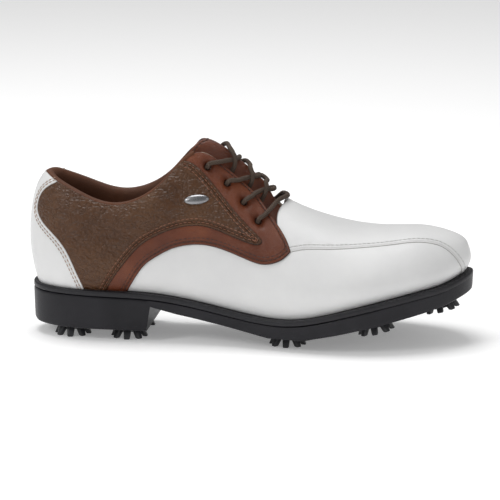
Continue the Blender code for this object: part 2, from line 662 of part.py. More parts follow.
def lace_route():
    """The whole lace from one hidden end to the other, as (station, line, height)."""
    bar = [(7.66, 5.52, -2.4), (7.66, 5.52, 0.9), (7.7, 5.48, OVER_FACING), (7.84, 5.37, OVER_FACING + 0.1),
           (8.02, 5.14, OVER_FACING + 0.1), (8.1, 4.75, 2.6), (8.06, 4.38, 2.2), (8.03, 4.0, 2.1),
           (8.06, 3.62, 2.2), (8.1, 3.25, 2.6), (8.02, 2.86, OVER_FACING + 0.1),
           (7.84, 2.63, OVER_FACING + 0.1), (7.7, 2.52, OVER_FACING), (7.66, 2.48, 0.9),
           (7.66, 2.48, -2.4)]
    tail = [(6.62, 1.6, -9.2), (6.58, 1.9, -8.2), (6.5, 2.2, -7.0), (6.4, 2.5, -5.7)]
    first = tail + strand(0, False) + strand(1, True) + strand(2, False)
    second = [(u, OVER - v, h) for u, v, h in tail] + strand(0, True) + strand(1, False) + strand(2, True)
    return first + bar + second[::-1]


def smooth_path(points, count):
    """Evenly numbered points of a rounded path through the points, in millimetres."""
    points = np.array(points)
    lengths = np.concatenate([[0], np.cumsum(np.linalg.norm(np.diff(points, axis=0), axis=1) ** 0.5)])
    where = np.interp(np.linspace(0, lengths[-1], count), lengths, np.arange(len(points)))
    padded = np.vstack([points[0], points, points[-1]])
    cell = np.minimum(where.astype(int), len(points) - 2)
    part = (where - cell)[:, None]
    p0, p1, p2, p3 = (padded[cell + i] for i in range(4))
    return 0.5 * (2 * p1 + (p2 - p0) * part + (2 * p0 - 5 * p1 + 4 * p2 - p3) * part ** 2
                  + (3 * p1 - p0 - 3 * p2 + p3) * part ** 3)


def tube(name, path, radius, shade, collection, resolution=1):
    """A round cord along a path, in one closed piece."""
    line = bpy.data.curves.new(name, "CURVE")
    line.dimensions = "3D"
    line.bevel_depth = radius * MM
    line.bevel_resolution = resolution
    line.use_fill_caps = True
    spline = line.splines.new("POLY")
    spline.points.add(len(path) - 1)
    for point, place in zip(spline.points, path):
        point.co = (*(Vector(place) * MM), 1)
    guide = bpy.data.objects.new(name + "_line", line)
    collection.objects.link(guide)
    mesh = bpy.data.meshes.new_from_object(guide.evaluated_get(bpy.context.evaluated_depsgraph_get()))
    bpy.data.objects.remove(guide)
    cord = bmesh.new()
    cord.from_mesh(mesh)
    bmesh.ops.remove_doubles(cord, verts=cord.verts, dist=0.01 * MM)
    bmesh.ops.recalc_face_normals(cord, faces=cord.faces)
    cord.to_mesh(mesh)
    cord.free()
    return object_from(name, mesh, shade, collection)


def build_lace(collection, looks):
    route = np.array(lace_route())
    path = smooth_path(lifted(route[:, 0], route[:, 1], route[:, 2]), 160)
    tube("lace", path, LACE_R, looks["lace"], collection)
    aglet_long, aglet_r = 20.0, 1.7
    for number, (end, before) in enumerate([(path[0], path[1]), (path[-1], path[-2])], 1):
        away = (end - before) / np.linalg.norm(end - before)
        start = end + away * FIT
        steps = [start + away * aglet_long * part for part in (0, 0.5, 1)]
        tube(f"aglet_{number}", steps, aglet_r, looks["aglet"], collection, 2)


def build_stud(collection, looks):
    """A plain oval metal stud on the lateral quarter."""
    panel("stud", oval((6.0, 2.26), 8.5, 3.2, 18), (QUARTER[1] + FIT, QUARTER[1] + FIT + 1.3),
          looks["steel"], collection, pitch=(0.15, 0.15))


def main():
    for old in list(bpy.data.objects):
        bpy.data.objects.remove(old)
    shoe = bpy.data.collections.new("golf_shoe")
    cutters = bpy.data.collections.new("cutters")
    bpy.context.scene.collection.children.link(shoe)
    bpy.context.scene.collection.children.link(cutters)
    origin = bpy.data.objects.new("shoe_origin", None)
    origin.location = [-place * MM for place in MIDDLE]
    fold = bpy.data.objects.new("tongue_fold", None)
    fold.location = [place * MM for place in TONGUE_HINGE]
    shoe.objects.link(origin)
    shoe.objects.link(fold)
    looks = {
        "rubber": material("outsole_rubber", (0.035, 0.035, 0.04), 0.55),
        "welt": material("welt_rubber", (0.03, 0.03, 0.035), 0.5),
        "cork": material("midsole_filler", (0.35, 0.24, 0.15), 0.9),
        "board": material("fibre_board", (0.55, 0.45, 0.33), 0.85),
        "steel": material("pewter_metal", (0.3, 0.3, 0.31), 0.3, 1.0),
        "cleat": material("cleat_plastic", (0.015, 0.015, 0.017), 0.4),
        "socket": material("socket_plastic", (0.05, 0.05, 0.055), 0.5),
        "white": material("white_leather", (0.82, 0.82, 0.82), 0.35),
        "tan": material("smooth_brown_leather", (0.16, 0.055, 0.032), 0.4),
        "brown": material("pebbled_brown_leather", (0.10, 0.062, 0.045), 0.5),
        "lining": material("lining_leather", (0.12, 0.05, 0.033), 0.6),
        "foam": material("foam", (0.5, 0.5, 0.48), 0.95),
        "lace": material("braided_lace", (0.085, 0.055, 0.04), 0.8),
        "aglet": material("aglet_plastic", (0.06, 0.04, 0.03), 0.35),
    }
    outsole = build_sole(shoe, cutters, looks)
    build_cleats(shoe, cutters, looks, outsole)
    build_upper(shoe, looks)
    build_inside(shoe, looks)
    build_tongue(shoe, looks)
    build_lace(shoe, looks)
    build_stud(shoe, looks)
    for piece in [*shoe.objects, *cutters.objects]:
        if piece.name.startswith("tongue_") and piece != fold:
            piece.parent = fold
            piece.location -= fold.location
        elif piece != origin:
            piece.parent = origin


main()
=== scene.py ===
import math

import bmesh
import bpy
import numpy as np
from mathutils import Matrix, Vector
from mathutils.geometry import delaunay_2d_cdt


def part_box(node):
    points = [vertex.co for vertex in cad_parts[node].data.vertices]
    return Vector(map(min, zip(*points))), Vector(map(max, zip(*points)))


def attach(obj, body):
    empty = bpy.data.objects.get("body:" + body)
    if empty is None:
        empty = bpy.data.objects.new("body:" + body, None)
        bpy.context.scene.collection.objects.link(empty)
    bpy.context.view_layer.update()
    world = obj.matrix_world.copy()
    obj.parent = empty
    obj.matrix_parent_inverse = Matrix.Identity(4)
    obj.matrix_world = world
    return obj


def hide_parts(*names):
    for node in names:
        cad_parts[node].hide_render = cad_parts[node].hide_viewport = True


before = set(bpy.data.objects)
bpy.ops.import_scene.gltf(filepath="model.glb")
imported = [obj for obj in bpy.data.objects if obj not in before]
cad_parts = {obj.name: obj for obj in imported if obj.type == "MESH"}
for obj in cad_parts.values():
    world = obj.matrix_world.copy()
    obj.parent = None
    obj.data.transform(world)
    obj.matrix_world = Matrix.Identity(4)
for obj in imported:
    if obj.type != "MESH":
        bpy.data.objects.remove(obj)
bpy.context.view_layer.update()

# ================ outsole and welt ================
# The outsole is one moulded rubber unit with a heel block, glued and stitched through the welt.
# Its outline is the last's feather line, moved out by the width of the welt. Lengths are in millimetres from
# the back of the heel, +X to the toe and -Y to the outer side, until `placed` puts them in the frame.
MM = 0.001
HEEL_BACK = Vector((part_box("outsole")[0].x + 0.5 * MM, 0.1 * MM, 0))

# the last's lines from the sole's edge up to the crest, each station as (x, y outer side, y inner side, z)
FEATHER = [(5, 0, 0, 35.5), (7.5, -10.5, 9.5, 35.5), (15, -19.5, 17.5, 35.5), (32, -28, 25, 35.5),
           (58, -31, 28, 35), (90, -31, 25, 33.5), (122, -32, 22.5, 28.5), (153, -37, 25.5, 23),
           (185, -44.5, 37, 21.5), (217, -48.5, 47, 28.5), (246, -44.5, 47, 36), (270, -33, 39.5, 41),
           (287, -19, 28.5, 44.5), (298.5, 4, 4, 49)]
BULGE = [(0.5, 0, 0, 58), (3, -12, 11, 58), (11, -23, 20.5, 58), (30, -33, 29.5, 57),
         (57, -36, 32.5, 55), (89, -35.5, 31, 52), (121, -36.5, 29.5, 48), (152, -42, 33.5, 43),
         (184, -49, 44, 40), (216, -52.5, 52, 43), (246, -48, 51.5, 48), (271, -36.5, 42.5, 51),
         (289, -21, 31, 53.5), (301.8, 4, 4, 57)]
SHOULDER = [(1, 0, 0, 84), (3.5, -11, 10, 84), (11.5, -21, 19, 83), (30, -30.5, 27.5, 80),
            (58, -33, 30.5, 76), (90, -32.5, 30.5, 79), (119, -30, 31, 86), (147, -34, 35, 77),
            (178, -40, 42, 63), (212, -43, 47, 60), (243, -40, 46, 61.5), (268, -31, 38.5, 63.5),
            (286.5, -18, 28.5, 65), (300, 4, 4, 66)]
TOPLINE = [(10, 0, 0, 110), (12.5, -8.5, 8, 110), (19, -16.5, 15.5, 107), (36, -24, 23, 99.5),
           (62, -28, 27, 93), (92, -25, 26, 106.5), (115, -12, 21, 128), (139, -10, 20, 114),
           (165, -13, 22, 93), (205, -22, 29, 77.5), (238, -21, 28, 73), (262, -16.5, 23.5, 74.5),
           (280, -9, 17, 74.5), (292.5, 4, 4, 73)]
CREST = [(26, 1, 1, 125), (28, 1, 1, 125), (34, 1, 1, 124), (48, 2, 2, 120),
         (70, 3, 3, 118), (97, 4, 4, 130), (119, 5, 5, 136), (144, 5, 5, 121),
         (174, 5, 5, 96), (206, 5, 5, 81.5), (236, 4.5, 4.5, 77), (257, 4, 4, 77.5),
         (270, 4, 4, 77.8), (277, 4, 4, 77.5)]
TOE = len(FEATHER) - 1
CREST_LINE = 4
OVER = 2 * CREST_LINE


def placed(points):
    """Millimetres from the heel's back as metres in the frame."""
    return np.asarray(points, float) * MM + np.array(HEEL_BACK)


def unit(ways):
    """Directions scaled to length one."""
    return ways / np.linalg.norm(ways, axis=1)[:, None]


def turned_out(ways):
    """Flat directions turned a quarter turn, from along the sole's outline to out of it."""
    return np.stack([ways[:, 1], -ways[:, 0]], 1)


def spline_curvatures(count, closed):
    """The matrix that gives a natural or closed spline's second derivatives from its points."""
    left, right = np.eye(count), np.zeros((count, count))
    for row in range(count) if closed else range(1, count - 1):
        before, after = (row - 1) % count, (row + 1) % count
        left[row, row] = 4
        left[row, before] = left[row, after] = 1
        right[row, before] = right[row, after] = 6
        right[row, row] = -12
    return np.linalg.solve(left, right)


def spline_weights(curvatures, where, closed):
    """How much each of a spline's points counts at the given places along it."""
    count = len(curvatures)
    where = np.atleast_1d(np.asarray(where, float))
    cell = np.floor(where).astype(int)
    if not closed:
        cell = np.clip(cell, 0, count - 2)
    part = where - cell
    rows, first, second = np.arange(len(where)), cell % count, (cell + 1) % count
    weights = ((1 - part) ** 3 - (1 - part))[:, None] * curvatures[first] / 6
    weights += (part ** 3 - part)[:, None] * curvatures[second] / 6
    weights[rows, first] += 1 - part
    weights[rows, second] += part
    return weights


def last_grid():
    """The last's lines as a loop of stations: along the outer side to the toe and back on the inner side."""
    half = np.zeros((TOE + 1, OVER + 1, 3))
    for number, line in enumerate([FEATHER, BULGE, SHOULDER, TOPLINE, CREST]):
        for station, (x, outer, inner, z) in enumerate(line):
            half[station, number] = (x, outer, z)
            half[station, OVER - number] = (x, inner, z)
    return np.array([*half, *half[TOE - 1:0:-1, ::-1]])


LAST = last_grid()
ALONG = spline_curvatures(len(LAST), True)
ACROSS = spline_curvatures(OVER + 1, False)


def surface(u, v):
    """Points of the last at stations u and lines v; a negative station is on the inner side."""
    first = np.einsum("ni,ijk->njk", spline_weights(ALONG, u, True), LAST)
    return np.einsum("njk,nj->nk", first, spline_weights(ACROSS, v, False))


def stretch(u, v):
    """How far the last runs for one station along and for one line across."""
    step = 0.02
    u = np.where(np.asarray(u, float) > TOE - step, TOE - step, np.asarray(u, float))
    v = np.asarray(v, float)
    along = (surface(u + step, v) - surface(u - step, v)) / (2 * step)
    across = (surface(u, v + step) - surface(u, v - step)) / (2 * step)
    return along, across


def lifted(u, v, height):
    """Points that stand off the last by a height."""
    u, v = np.asarray(u, float), np.asarray(v, float)
    along, across = stretch(u, v)
    normal = np.cross(along, across)
    normal[u > TOE - 1e-6, 1] = 0
    return surface(u, v) + unit(normal) * np.asarray(height, float).reshape(-1, 1)


def ease(low, high, value):
    """Rises smoothly from 0 at low to 1 at high."""
    part = np.clip((np.asarray(value, float) - low) / (high - low), 0, 1)
    return part * part * (3 - 2 * part)


def linked(name, data):
    """A new object in the scene."""
    made = bpy.data.objects.new(name, data)
    bpy.context.scene.collection.objects.link(made)
    return made


def mesh_of(name, shape):
    mesh = bpy.data.meshes.new(name)
    shape.to_mesh(mesh)
    shape.free()
    return mesh


def finished(name, shape, shade, body="shoe", crisp=None):
    """Makes a bmesh an object of the shoe: named, smooth, finished and riding on its body."""
    mesh = mesh_of(name, shape)
    mesh.materials.append(shade)
    mesh.shade_smooth()
    if crisp:
        mesh.set_sharp_from_angle(angle=math.radians(crisp))
    piece = linked(name, mesh)
    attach(piece, body)
    return piece


def laid_grid(columns, rows, place, closed=False):
    """A grid of faces, each vertex put where `place` says for its shares along and across."""
    shape = bmesh.new()
    bmesh.ops.create_grid(shape, x_segments=columns, y_segments=rows, size=0.5)
    shares = np.array([tuple(vert.co) for vert in shape.verts])[:, :2] + 0.5
    for vert, point in zip(shape.verts, placed(place(shares[:, 0], shares[:, 1]))):
        vert.co = point
    if closed:
        bmesh.ops.remove_doubles(shape, verts=shape.verts, dist=0.01 * MM)
        bmesh.ops.recalc_face_normals(shape, faces=shape.faces)
    return shape


def feed(tree, target, values):
    """Sets a node's inputs, or links those that are given as another node's output."""
    for socket, value in values.items():
        if isinstance(value, bpy.types.NodeSocket):
            tree.links.new(value, target.inputs[socket])
        else:
            target.inputs[socket].default_value = value


def node(tree, kind, values=None, **settings):
    """Adds a node, sets its settings, and feeds its inputs."""
    made = tree.nodes.new(kind)
    for setting, value in settings.items():
        setattr(made, setting, value)
    feed(tree, made, values or {})
    return made


def noise(tree, place, scale, detail, **more):
    return node(tree, "ShaderNodeTexNoise", {"Vector": place, "Scale": scale, "Detail": detail, **more})


def bumped(tree, height, depth_mm):
    return node(tree, "ShaderNodeBump", {"Height": height, "Distance": depth_mm * MM}).outputs["Normal"]


def math_node(tree, operation, first, second=0.0):
    return node(tree, "ShaderNodeMath", {0: first, 1: second}, operation=operation).outputs[0]


def ramp(tree, factor, *stops):
    """A colour ramp with (position, colour) stops."""
    made = node(tree, "ShaderNodeValToRGB", {"Fac": factor})
    while len(made.color_ramp.elements) < len(stops):
        made.color_ramp.elements.new(0.5)
    for element, (position, colour) in zip(made.color_ramp.elements, stops):
        element.position = position
        element.color = (*colour, 1)
    return made.outputs["Color"]


def span(tree, value, low, high, to_low, to_high, curve="LINEAR"):
    """Moves a value from one range to another."""
    values = {"Value": value, "From Min": low, "From Max": high, "To Min": to_low, "To Max": to_high}
    return node(tree, "ShaderNodeMapRange", values, interpolation_type=curve).outputs["Result"]


def mix_colour(tree, factor, first, second, blend="MIX"):
    made = node(tree, "ShaderNodeMix", {"Factor": factor, 6: first, 7: second}, data_type="RGBA",
                blend_type=blend)
    return made.outputs[2]


def group_of(name, inputs, outputs):
    """An empty shader group with named number sockets, and its two ends."""
    tree = bpy.data.node_groups.new(name, "ShaderNodeTree")
    for socket, default in inputs.items():
        made = tree.interface.new_socket(socket, in_out="INPUT", socket_type="NodeSocketFloat")
        made.default_value = default
    for socket in outputs:
        tree.interface.new_socket(socket, in_out="OUTPUT", socket_type="NodeSocketFloat")
    return tree, tree.nodes.new("NodeGroupInput"), tree.nodes.new("NodeGroupOutput")


def new_shade(name):
    """A new material, its node tree and its shader."""
    shade = bpy.data.materials.new(name)
    shade.use_nodes = True
    return shade, shade.node_tree, shade.node_tree.nodes["Principled BSDF"]


def grain_group():
    """Fine grain: small uneven cells, softer clouding, and a height for the bump."""
    tree, start, end = group_of("fine_grain", {"Size": 1.0}, ["Height", "Tone"])
    place = node(tree, "ShaderNodeTexCoord").outputs["Object"]
    size = math_node(tree, "DIVIDE", 1000.0, start.outputs["Size"])
    cells = node(tree, "ShaderNodeTexVoronoi", {"Vector": place, "Scale": size}, feature="SMOOTH_F1")
    folds = noise(tree, place, math_node(tree, "MULTIPLY", size, 0.45), 4.0)
    clouds = noise(tree, place, 38.0, 3.0)
    cell = span(tree, cells.outputs["Distance"], 0.0, 0.7, 1.0, 0.0)
    height = math_node(tree, "ADD", cell, math_node(tree, "MULTIPLY", folds.outputs["Fac"], 0.7))
    feed(tree, end, {"Height": height, "Tone": span(tree, clouds.outputs["Fac"], 0.3, 0.7, 0.0, 1.0)})
    return tree


FINE_GRAIN = grain_group()


def grained(name, dark, light, roughness, grain_mm, depth_mm, **sockets):
    """A material whose colour clouds between two tones over a fine moulded or natural grain."""
    shade, tree, shader = new_shade(name)
    grain = node(tree, "ShaderNodeGroup", node_tree=FINE_GRAIN)
    grain.inputs["Size"].default_value = grain_mm
    height = grain.outputs["Height"]
    feed(tree, shader, {"Base Color": ramp(tree, grain.outputs["Tone"], (0.0, dark), (1.0, light)),
                        "Roughness": span(tree, height, 0.2, 1.4, roughness + 0.06, roughness - 0.06),
                        "Normal": bumped(tree, height, depth_mm)})
    for socket, value in sockets.items():
        shader.inputs[socket.replace("_", " ")].default_value = value
    return shade


sole_rubber = grained("sole_rubber", (0.011, 0.0105, 0.013), (0.018, 0.0175, 0.021), 0.42, 0.9, 0.04,
                     Specular_IOR_Level=0.22)
welt_rubber = grained("welt_rubber", (0.013, 0.0125, 0.015), (0.02, 0.0195, 0.023), 0.46, 0.6, 0.04,
                     Specular_IOR_Level=0.3)

EDGE, WELT_THICK, WELT_REACH = 5.5, 4.0, -5.0
HEEL_BREAST, BREAST_RAKE, CLEAT_DROP = 84.0, 2.5, 8.0
# x and height of the outsole's underside
UNDERSIDE = [(-4, 9), (5, CLEAT_DROP), (HEEL_BREAST, CLEAT_DROP), (HEEL_BREAST + BREAST_RAKE, 25),
             (104, 20.5), (122, 17), (140, 13.5), (156, 10.3), (168, CLEAT_DROP), (193, CLEAT_DROP),
             (201, 10), (213, 12.5), (228, 16), (243, 19.3), (258, 23), (273, 26.3), (288, 30),
             (306, 36.5)]


def sole_outline(beyond, count):
    """The feather line seen from above, moved outwards by a distance."""
    where = np.linspace(0, len(LAST), count, endpoint=False)
    line = surface(where, np.zeros(count))[:, :2]
    return line + turned_out(unit(np.roll(line, -1, 0) - np.roll(line, 1, 0))) * beyond


FEATHER_LINE = surface(np.linspace(0, TOE, 80), np.zeros(80))


def welt_top(x):
    """The height of the welt's upper face at a distance from the heel."""
    line = FEATHER_LINE
    return np.interp(x, [-6, *line[:, 0], 308], [line[0, 2], *line[:, 2], line[-1, 2] + 4])


def underside(x):
    table = np.array(UNDERSIDE, float)
    return np.interp(x, table[:, 0], table[:, 1])


def cleat_frame(x, y):
    """Where a cleat sits: the origin on the underside and +Z into the sole, square to it."""
    reach = 6
    slope = float(underside(x + reach) - underside(x - reach)) / (2 * reach)
    spot = placed([x, y, float(underside(x))])
    return Matrix.Translation(spot) @ Matrix.Rotation(-math.atan(slope), 4, "Y")


CLEATS = [(29, -14), (29, 14), (69, -17), (69, 15), (180, -26), (181, 26), (239, -25), (240, 28), (281, 4)]
POCKET_R, POCKET_DEEP = 8.9, 5.7
# the side wall from the top down: how far each line stands out, and its share of the wall's height
WALL = [(-0.9, 0.0), (-0.25, 0.02), (0.0, 0.06), (0.0, 0.12), (-0.15, 0.4), (-0.35, 0.75), (-0.55, 0.93),
        (-1.0, 0.98), (-1.9, 1.0)]


def layered_plate(outline, levels, top, bottom, strip):
    """A plate with the outline seen from above: laid flat, cut in strips, and drawn down line by line."""
    count = len(outline)
    shape = bmesh.new()
    shape.faces.new([shape.verts.new((x * MM, y * MM, 0)) for x, y in outline])
    for x in sorted({x for x, _ in UNDERSIDE[1:-1]} | set(range(strip, 300, strip))):
        everything = shape.verts[:] + shape.edges[:] + shape.faces[:]
        bmesh.ops.bisect_plane(shape, geom=everything, plane_co=(x * MM, 0, 0), plane_no=(1, 0, 0))
    bmesh.ops.recalc_face_normals(shape, faces=shape.faces)
    if shape.faces[:][0].normal.z < 0:
        bmesh.ops.reverse_faces(shape, faces=shape.faces)
    level = shape.verts.layers.int.new("level")
    region = shape.faces[:]
    for number in range(1, len(levels)):
        drawn = bmesh.ops.extrude_face_region(shape, geom=region, use_keep_orig=number == 1)["geom"]
        region = [item for item in drawn if isinstance(item, bmesh.types.BMFace)]
        for vert in {corner for face in region for corner in face.verts}:
            vert[level] = number
    for vert in shape.verts:
        spot = np.array(vert.co[:2]) / MM
        near = int(np.argmin(np.hypot(*(outline - spot).T)))
        along = outline[(near + 1) % count] - outline[near - 1]
        outward = np.array([along[1], -along[0]]) / np.linalg.norm(along)
        out, share = levels[vert[level]]
        high, low = float(top(spot[0])), float(bottom(spot[0]))
        vert.co = placed([*(spot + outward * out), high - share * (high - low)])
    bmesh.ops.recalc_face_normals(shape, faces=shape.faces)
    return shape


sole_shape = layered_plate(sole_outline(EDGE, 230), WALL, lambda x: welt_top(x) - WELT_THICK - 0.15,
                           underside, 6)
outsole = finished("outsole_unit", sole_shape, sole_rubber, crisp=40)
pockets = bmesh.new()
for x, y in CLEATS:
    bmesh.ops.create_cone(pockets, cap_ends=True, segments=48, radius1=POCKET_R * MM, radius2=POCKET_R * MM,
                          depth=2 * POCKET_DEEP * MM, matrix=cleat_frame(x, y))
pocket_cutter = linked("pockets", mesh_of("pockets", pockets))
cut = outsole.modifiers.new("pockets", "BOOLEAN")
cut.operation, cut.solver, cut.object = "DIFFERENCE", "EXACT", pocket_cutter
bpy.context.view_layer.update()
outsole.data = bpy.data.meshes.new_from_object(
    outsole.evaluated_get(bpy.context.evaluated_depsgraph_get()))
outsole.modifiers.clear()
bpy.data.objects.remove(pocket_cutter)
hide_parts("outsole")

# the welt's section, from its inner lower corner round its outer edge: (out from the feather line, height)
WELT_SECTION = [(WELT_REACH, -3.8), (EDGE - 1.2, -3.85), (EDGE - 0.3, -3.7), (EDGE, -3.2), (EDGE, -0.9),
                (EDGE - 0.25, -0.3), (EDGE - 0.9, 0.0), (2.9, 0.0), (2.3, -0.35), (1.7, -0.35), (1.1, 0.0),
                (-2.0, 0.0), (WELT_REACH, -0.1), (WELT_REACH, -3.8)]


def welt_place(around, across):
    """The welt as a strip bent round the last, its section closed on itself."""
    station = around * len(LAST)
    line = surface(station, np.zeros(len(station)))[:, :2]
    along = unit(surface(station + 0.01, np.zeros(len(station)))[:, :2] - line)
    number = across * (len(WELT_SECTION) - 1)
    section = np.array(WELT_SECTION)
    out = np.interp(number, np.arange(len(section)), section[:, 0])
    height = np.interp(number, np.arange(len(section)), section[:, 1])
    spot = line + turned_out(along) * out[:, None]
    return np.stack([spot[:, 0], spot[:, 1], welt_top(line[:, 0]) + height], 1)


welt_shape = laid_grid(360, len(WELT_SECTION) - 1, welt_place, closed=True)
welt = finished("welt_strip", welt_shape, welt_rubber, crisp=50)
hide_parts("welt")

# ================ stitches ================
# Waxed thread, sewn in rows beside the edge of each panel and round the welt. Every stitch is a short piece of
# thread that dives into its groove at both ends.
THREAD, STITCH, GAP = 0.62, 2.5, 0.6
WELT_ROW_OUT, WELT_ROW_POINTS = 2.0, 700


def thread_shade(name, dark, light):
    return grained(name, dark, light, 0.55, 0.35, 0.05)


def stitch_row(shape, points, normals):
    """Stitches along a run of points in millimetres, each lying square to the normal there."""
    steps = np.linalg.norm(np.diff(points, axis=0), axis=1)
    length = np.concatenate([[0], np.cumsum(steps)])
    count = max(1, int(length[-1] / (STITCH + GAP)))
    for middle in (np.arange(count) + 0.5) * length[-1] / count:
        ends = [np.array([np.interp(middle + half, length, points[:, axis]) for axis in range(3)])
                for half in (-STITCH / 2, STITCH / 2)]
        up = Vector([np.interp(middle, length, normals[:, axis]) for axis in range(3)]).normalized()
        along = Vector(ends[1] - ends[0]).normalized()
        side = up.cross(along).normalized()
        up = along.cross(side)
        spot = Vector(placed((ends[0] + ends[1]) / 2))
        turn = Matrix((side, up, along)).transposed().to_4x4()
        size = Matrix.Diagonal((THREAD / 2 * MM, THREAD / 2 * MM, STITCH / 2 * MM, 1))
        bmesh.ops.create_uvsphere(shape, u_segments=6, v_segments=5, radius=1.0,
                                  matrix=Matrix.Translation(spot) @ turn @ size)


def beside(curve, by):
    """A seam moved sideways on the last by a distance in millimetres, to its left when positive."""
    along, across = stretch(curve[:, 0], curve[:, 1])
    length = np.linalg.norm(along, axis=1)
    shear = np.sum(along * across, axis=1) / length
    square = np.sqrt(np.sum(across * across, axis=1) - shear ** 2)
    step = np.gradient(curve, axis=0)
    real = unit(np.stack([step[:, 0] * length + step[:, 1] * shear, step[:, 1] * square], 1))
    left = np.stack([-real[:, 1], real[:, 0]], 1) * by
    lines = left[:, 1] / square
    return curve + np.stack([(left[:, 0] - lines * shear) / length, lines], 1)


def seam_stitches(shape, curve, by, height, depth=None):
    """A row of stitches beside a seam, at a height over the last, or over a surface set lower than it."""
    u, v = beside(curve, by).T
    height = (depth(u, v) if depth else 0.0) + height
    points = lifted(u, v, height)
    stitch_row(shape, points, lifted(u, v, height + 1.0) - points)


black_thread = thread_shade("black_thread", (0.03, 0.03, 0.032), (0.06, 0.06, 0.062))
welt_thread = bmesh.new()
feather = surface(np.linspace(0, len(LAST), WELT_ROW_POINTS), np.zeros(WELT_ROW_POINTS))
row = feather[:, :2] + turned_out(unit(np.gradient(feather[:, :2], axis=0))) * WELT_ROW_OUT
welt_row = np.stack([row[:, 0], row[:, 1], welt_top(feather[:, 0]) - 0.15], 1)
stitch_row(welt_thread, welt_row, np.tile([0.0, 0.0, 1.0], (WELT_ROW_POINTS, 1)))
finished("welt_stitches", welt_thread, black_thread)

# ================ upper: leather panels ================
# Six panels are cut from white, smooth red-brown and pebbled brown leather, lasted over the form and lapped:
# the saddle over the vamp, the quarter over the saddle and the heel cover over the quarter.
FOOT = 0.0   # the line where every panel is drawn under the sole's edge
# seams as points (station, line) on the last
HEEL_SEAM = [(2.12, 3.0), (1.6, 2.62), (1.45, 2.3), (1.7, 2.0), (2.5, 1.62), (3.05, 1.05), (3.36, FOOT)]
QUARTER_FRONT = [(5.62, 3.0), (6.14, 2.66), (6.64, 2.44), (7.1, 2.29), (7.5, 2.18), (7.57, 2.1),
                 (7.4, 2.0), (7.0, 1.93), (6.4, 1.91), (5.6, 1.92), (5.1, 1.87), (4.74, 1.66),
                 (4.44, 1.2), (4.14, 0.58), (3.9, FOOT)]
BAND_LOW = [(4.38, FOOT), (4.54, 0.46), (4.76, 1.0), (5.0, 1.3), (5.3, 1.5), (5.7, 1.6), (6.4, 1.64),
            (7.2, 1.64), (7.6, 1.73), (7.94, 1.94), (8.22, 2.18)]
FACING_FRONT = [(6.68, 3.0), (7.1, 3.04), (7.62, 3.06), (7.96, 2.86), (8.14, 2.62), (8.22, 2.4), (8.22, 2.18)]
APRON_SEAM = [(8.22, 2.18), (8.6, 2.34), (9.0, 2.45), (9.5, 2.6), (10.0, 2.7), (10.8, 2.75), (11.4, 2.67),
              (11.85, 2.45), (12.12, 2.04), (12.3, 1.48), (12.5, 0.6), (12.62, FOOT)]
THROAT = [(8.14, 2.62), (8.2, 3.1), (8.14, 3.6), (8.04, 4.0)]
EYELETS = [(6.34, 2.76), (6.88, 2.72), (7.34, 2.64), (7.66, 2.48)]
EYELET_R = 2.3
# heights over the last: the panels' common inside, then each one's outside
INNER = -1.4
VAMP_TOP, CENTRE_TOP, SADDLE_TOP, QUARTER_TOP, COVER_TOP = -0.35, 0.15, 1.0, 1.9, 2.3
# the stitch rows' distances from their seams, and the thread's rise over the leather
ROW_NEAR, ROW_FAR = 1.9, 4.1
APRON_NEAR, APRON_FAR = 0.9, 3.3
COVER_NEAR, COVER_FAR = 1.5, 3.4
THREAD_RISE, COVER_THREAD_RISE = 0.24, 0.22
SEAM_STEP = 1.2


def on_spline(points, where):
    """Places on the smooth curve through the points, counted in points from its start."""
    return spline_weights(spline_curvatures(len(points), False), where, False) @ np.array(points, float)


def curve_through(points, count):
    return on_spline(points, np.linspace(0, len(points) - 1, count))


def mirrored(points):
    """The same seam on the shoe's other side, run the other way."""
    return np.array([(u, OVER - v) for u, v in points[::-1]])


def run(start, end, count):
    return np.linspace(start, end, count)


def evenly(points, step, closed=False):
    """The same run with a point every `step` millimetres of the last, its corners kept."""
    points = np.vstack([points, points[:1]]) if closed else points
    spots = surface(points[:, 0], points[:, 1])
    made = []
    for number in range(len(points) - 1):
        count = max(1, int(round(np.linalg.norm(spots[number + 1] - spots[number]) / step)))
        made += [points[number] + (points[number + 1] - points[number]) * part / count for part in range(count)]
    return np.array(made if closed else [*made, points[-1]])


def joined(*runs):
    """One closed outline from runs of points, without the doubled ends."""
    points = []
    for piece in runs:
        for point in piece:
            if not points or np.hypot(*(np.array(point) - points[-1])) > 1e-6:
                points.append(np.array(point, float))
    if np.hypot(*(points[0] - points[-1])) < 1e-6:
        points.pop()
    return np.array(points)


def moved_in(outline, by):
    """A closed outline moved inwards by millimetres on the last."""
    area = np.sum(outline[:, 0] * np.roll(outline[:, 1], -1) - outline[:, 1] * np.roll(outline[:, 0], -1))
    wrapped = np.vstack([outline[-2:], outline, outline[:2]])
    return beside(wrapped, by * np.sign(area))[2:-2]


def are_inside(points, outline):
    """Which flat points are inside a closed outline."""
    x, y = points[:, :1], points[:, 1:]
    x0, y0 = outline[:, 0], outline[:, 1]
    x1, y1 = np.roll(x0, -1), np.roll(y0, -1)
    spans = (y0 > y) != (y1 > y)
    cross_at = x0 + (y - y0) * (x1 - x0) / np.where(y1 == y0, 1, y1 - y0)
    return np.count_nonzero(spans & (x < cross_at), axis=1) % 2 == 1


def nearest(points, others):
    """Distance from each point to the nearest of the others."""
    found = [np.min(np.linalg.norm(points[i:i + 500, None] - others[None], axis=2), axis=1)
             for i in range(0, len(points), 500)]
    return np.concatenate(found)


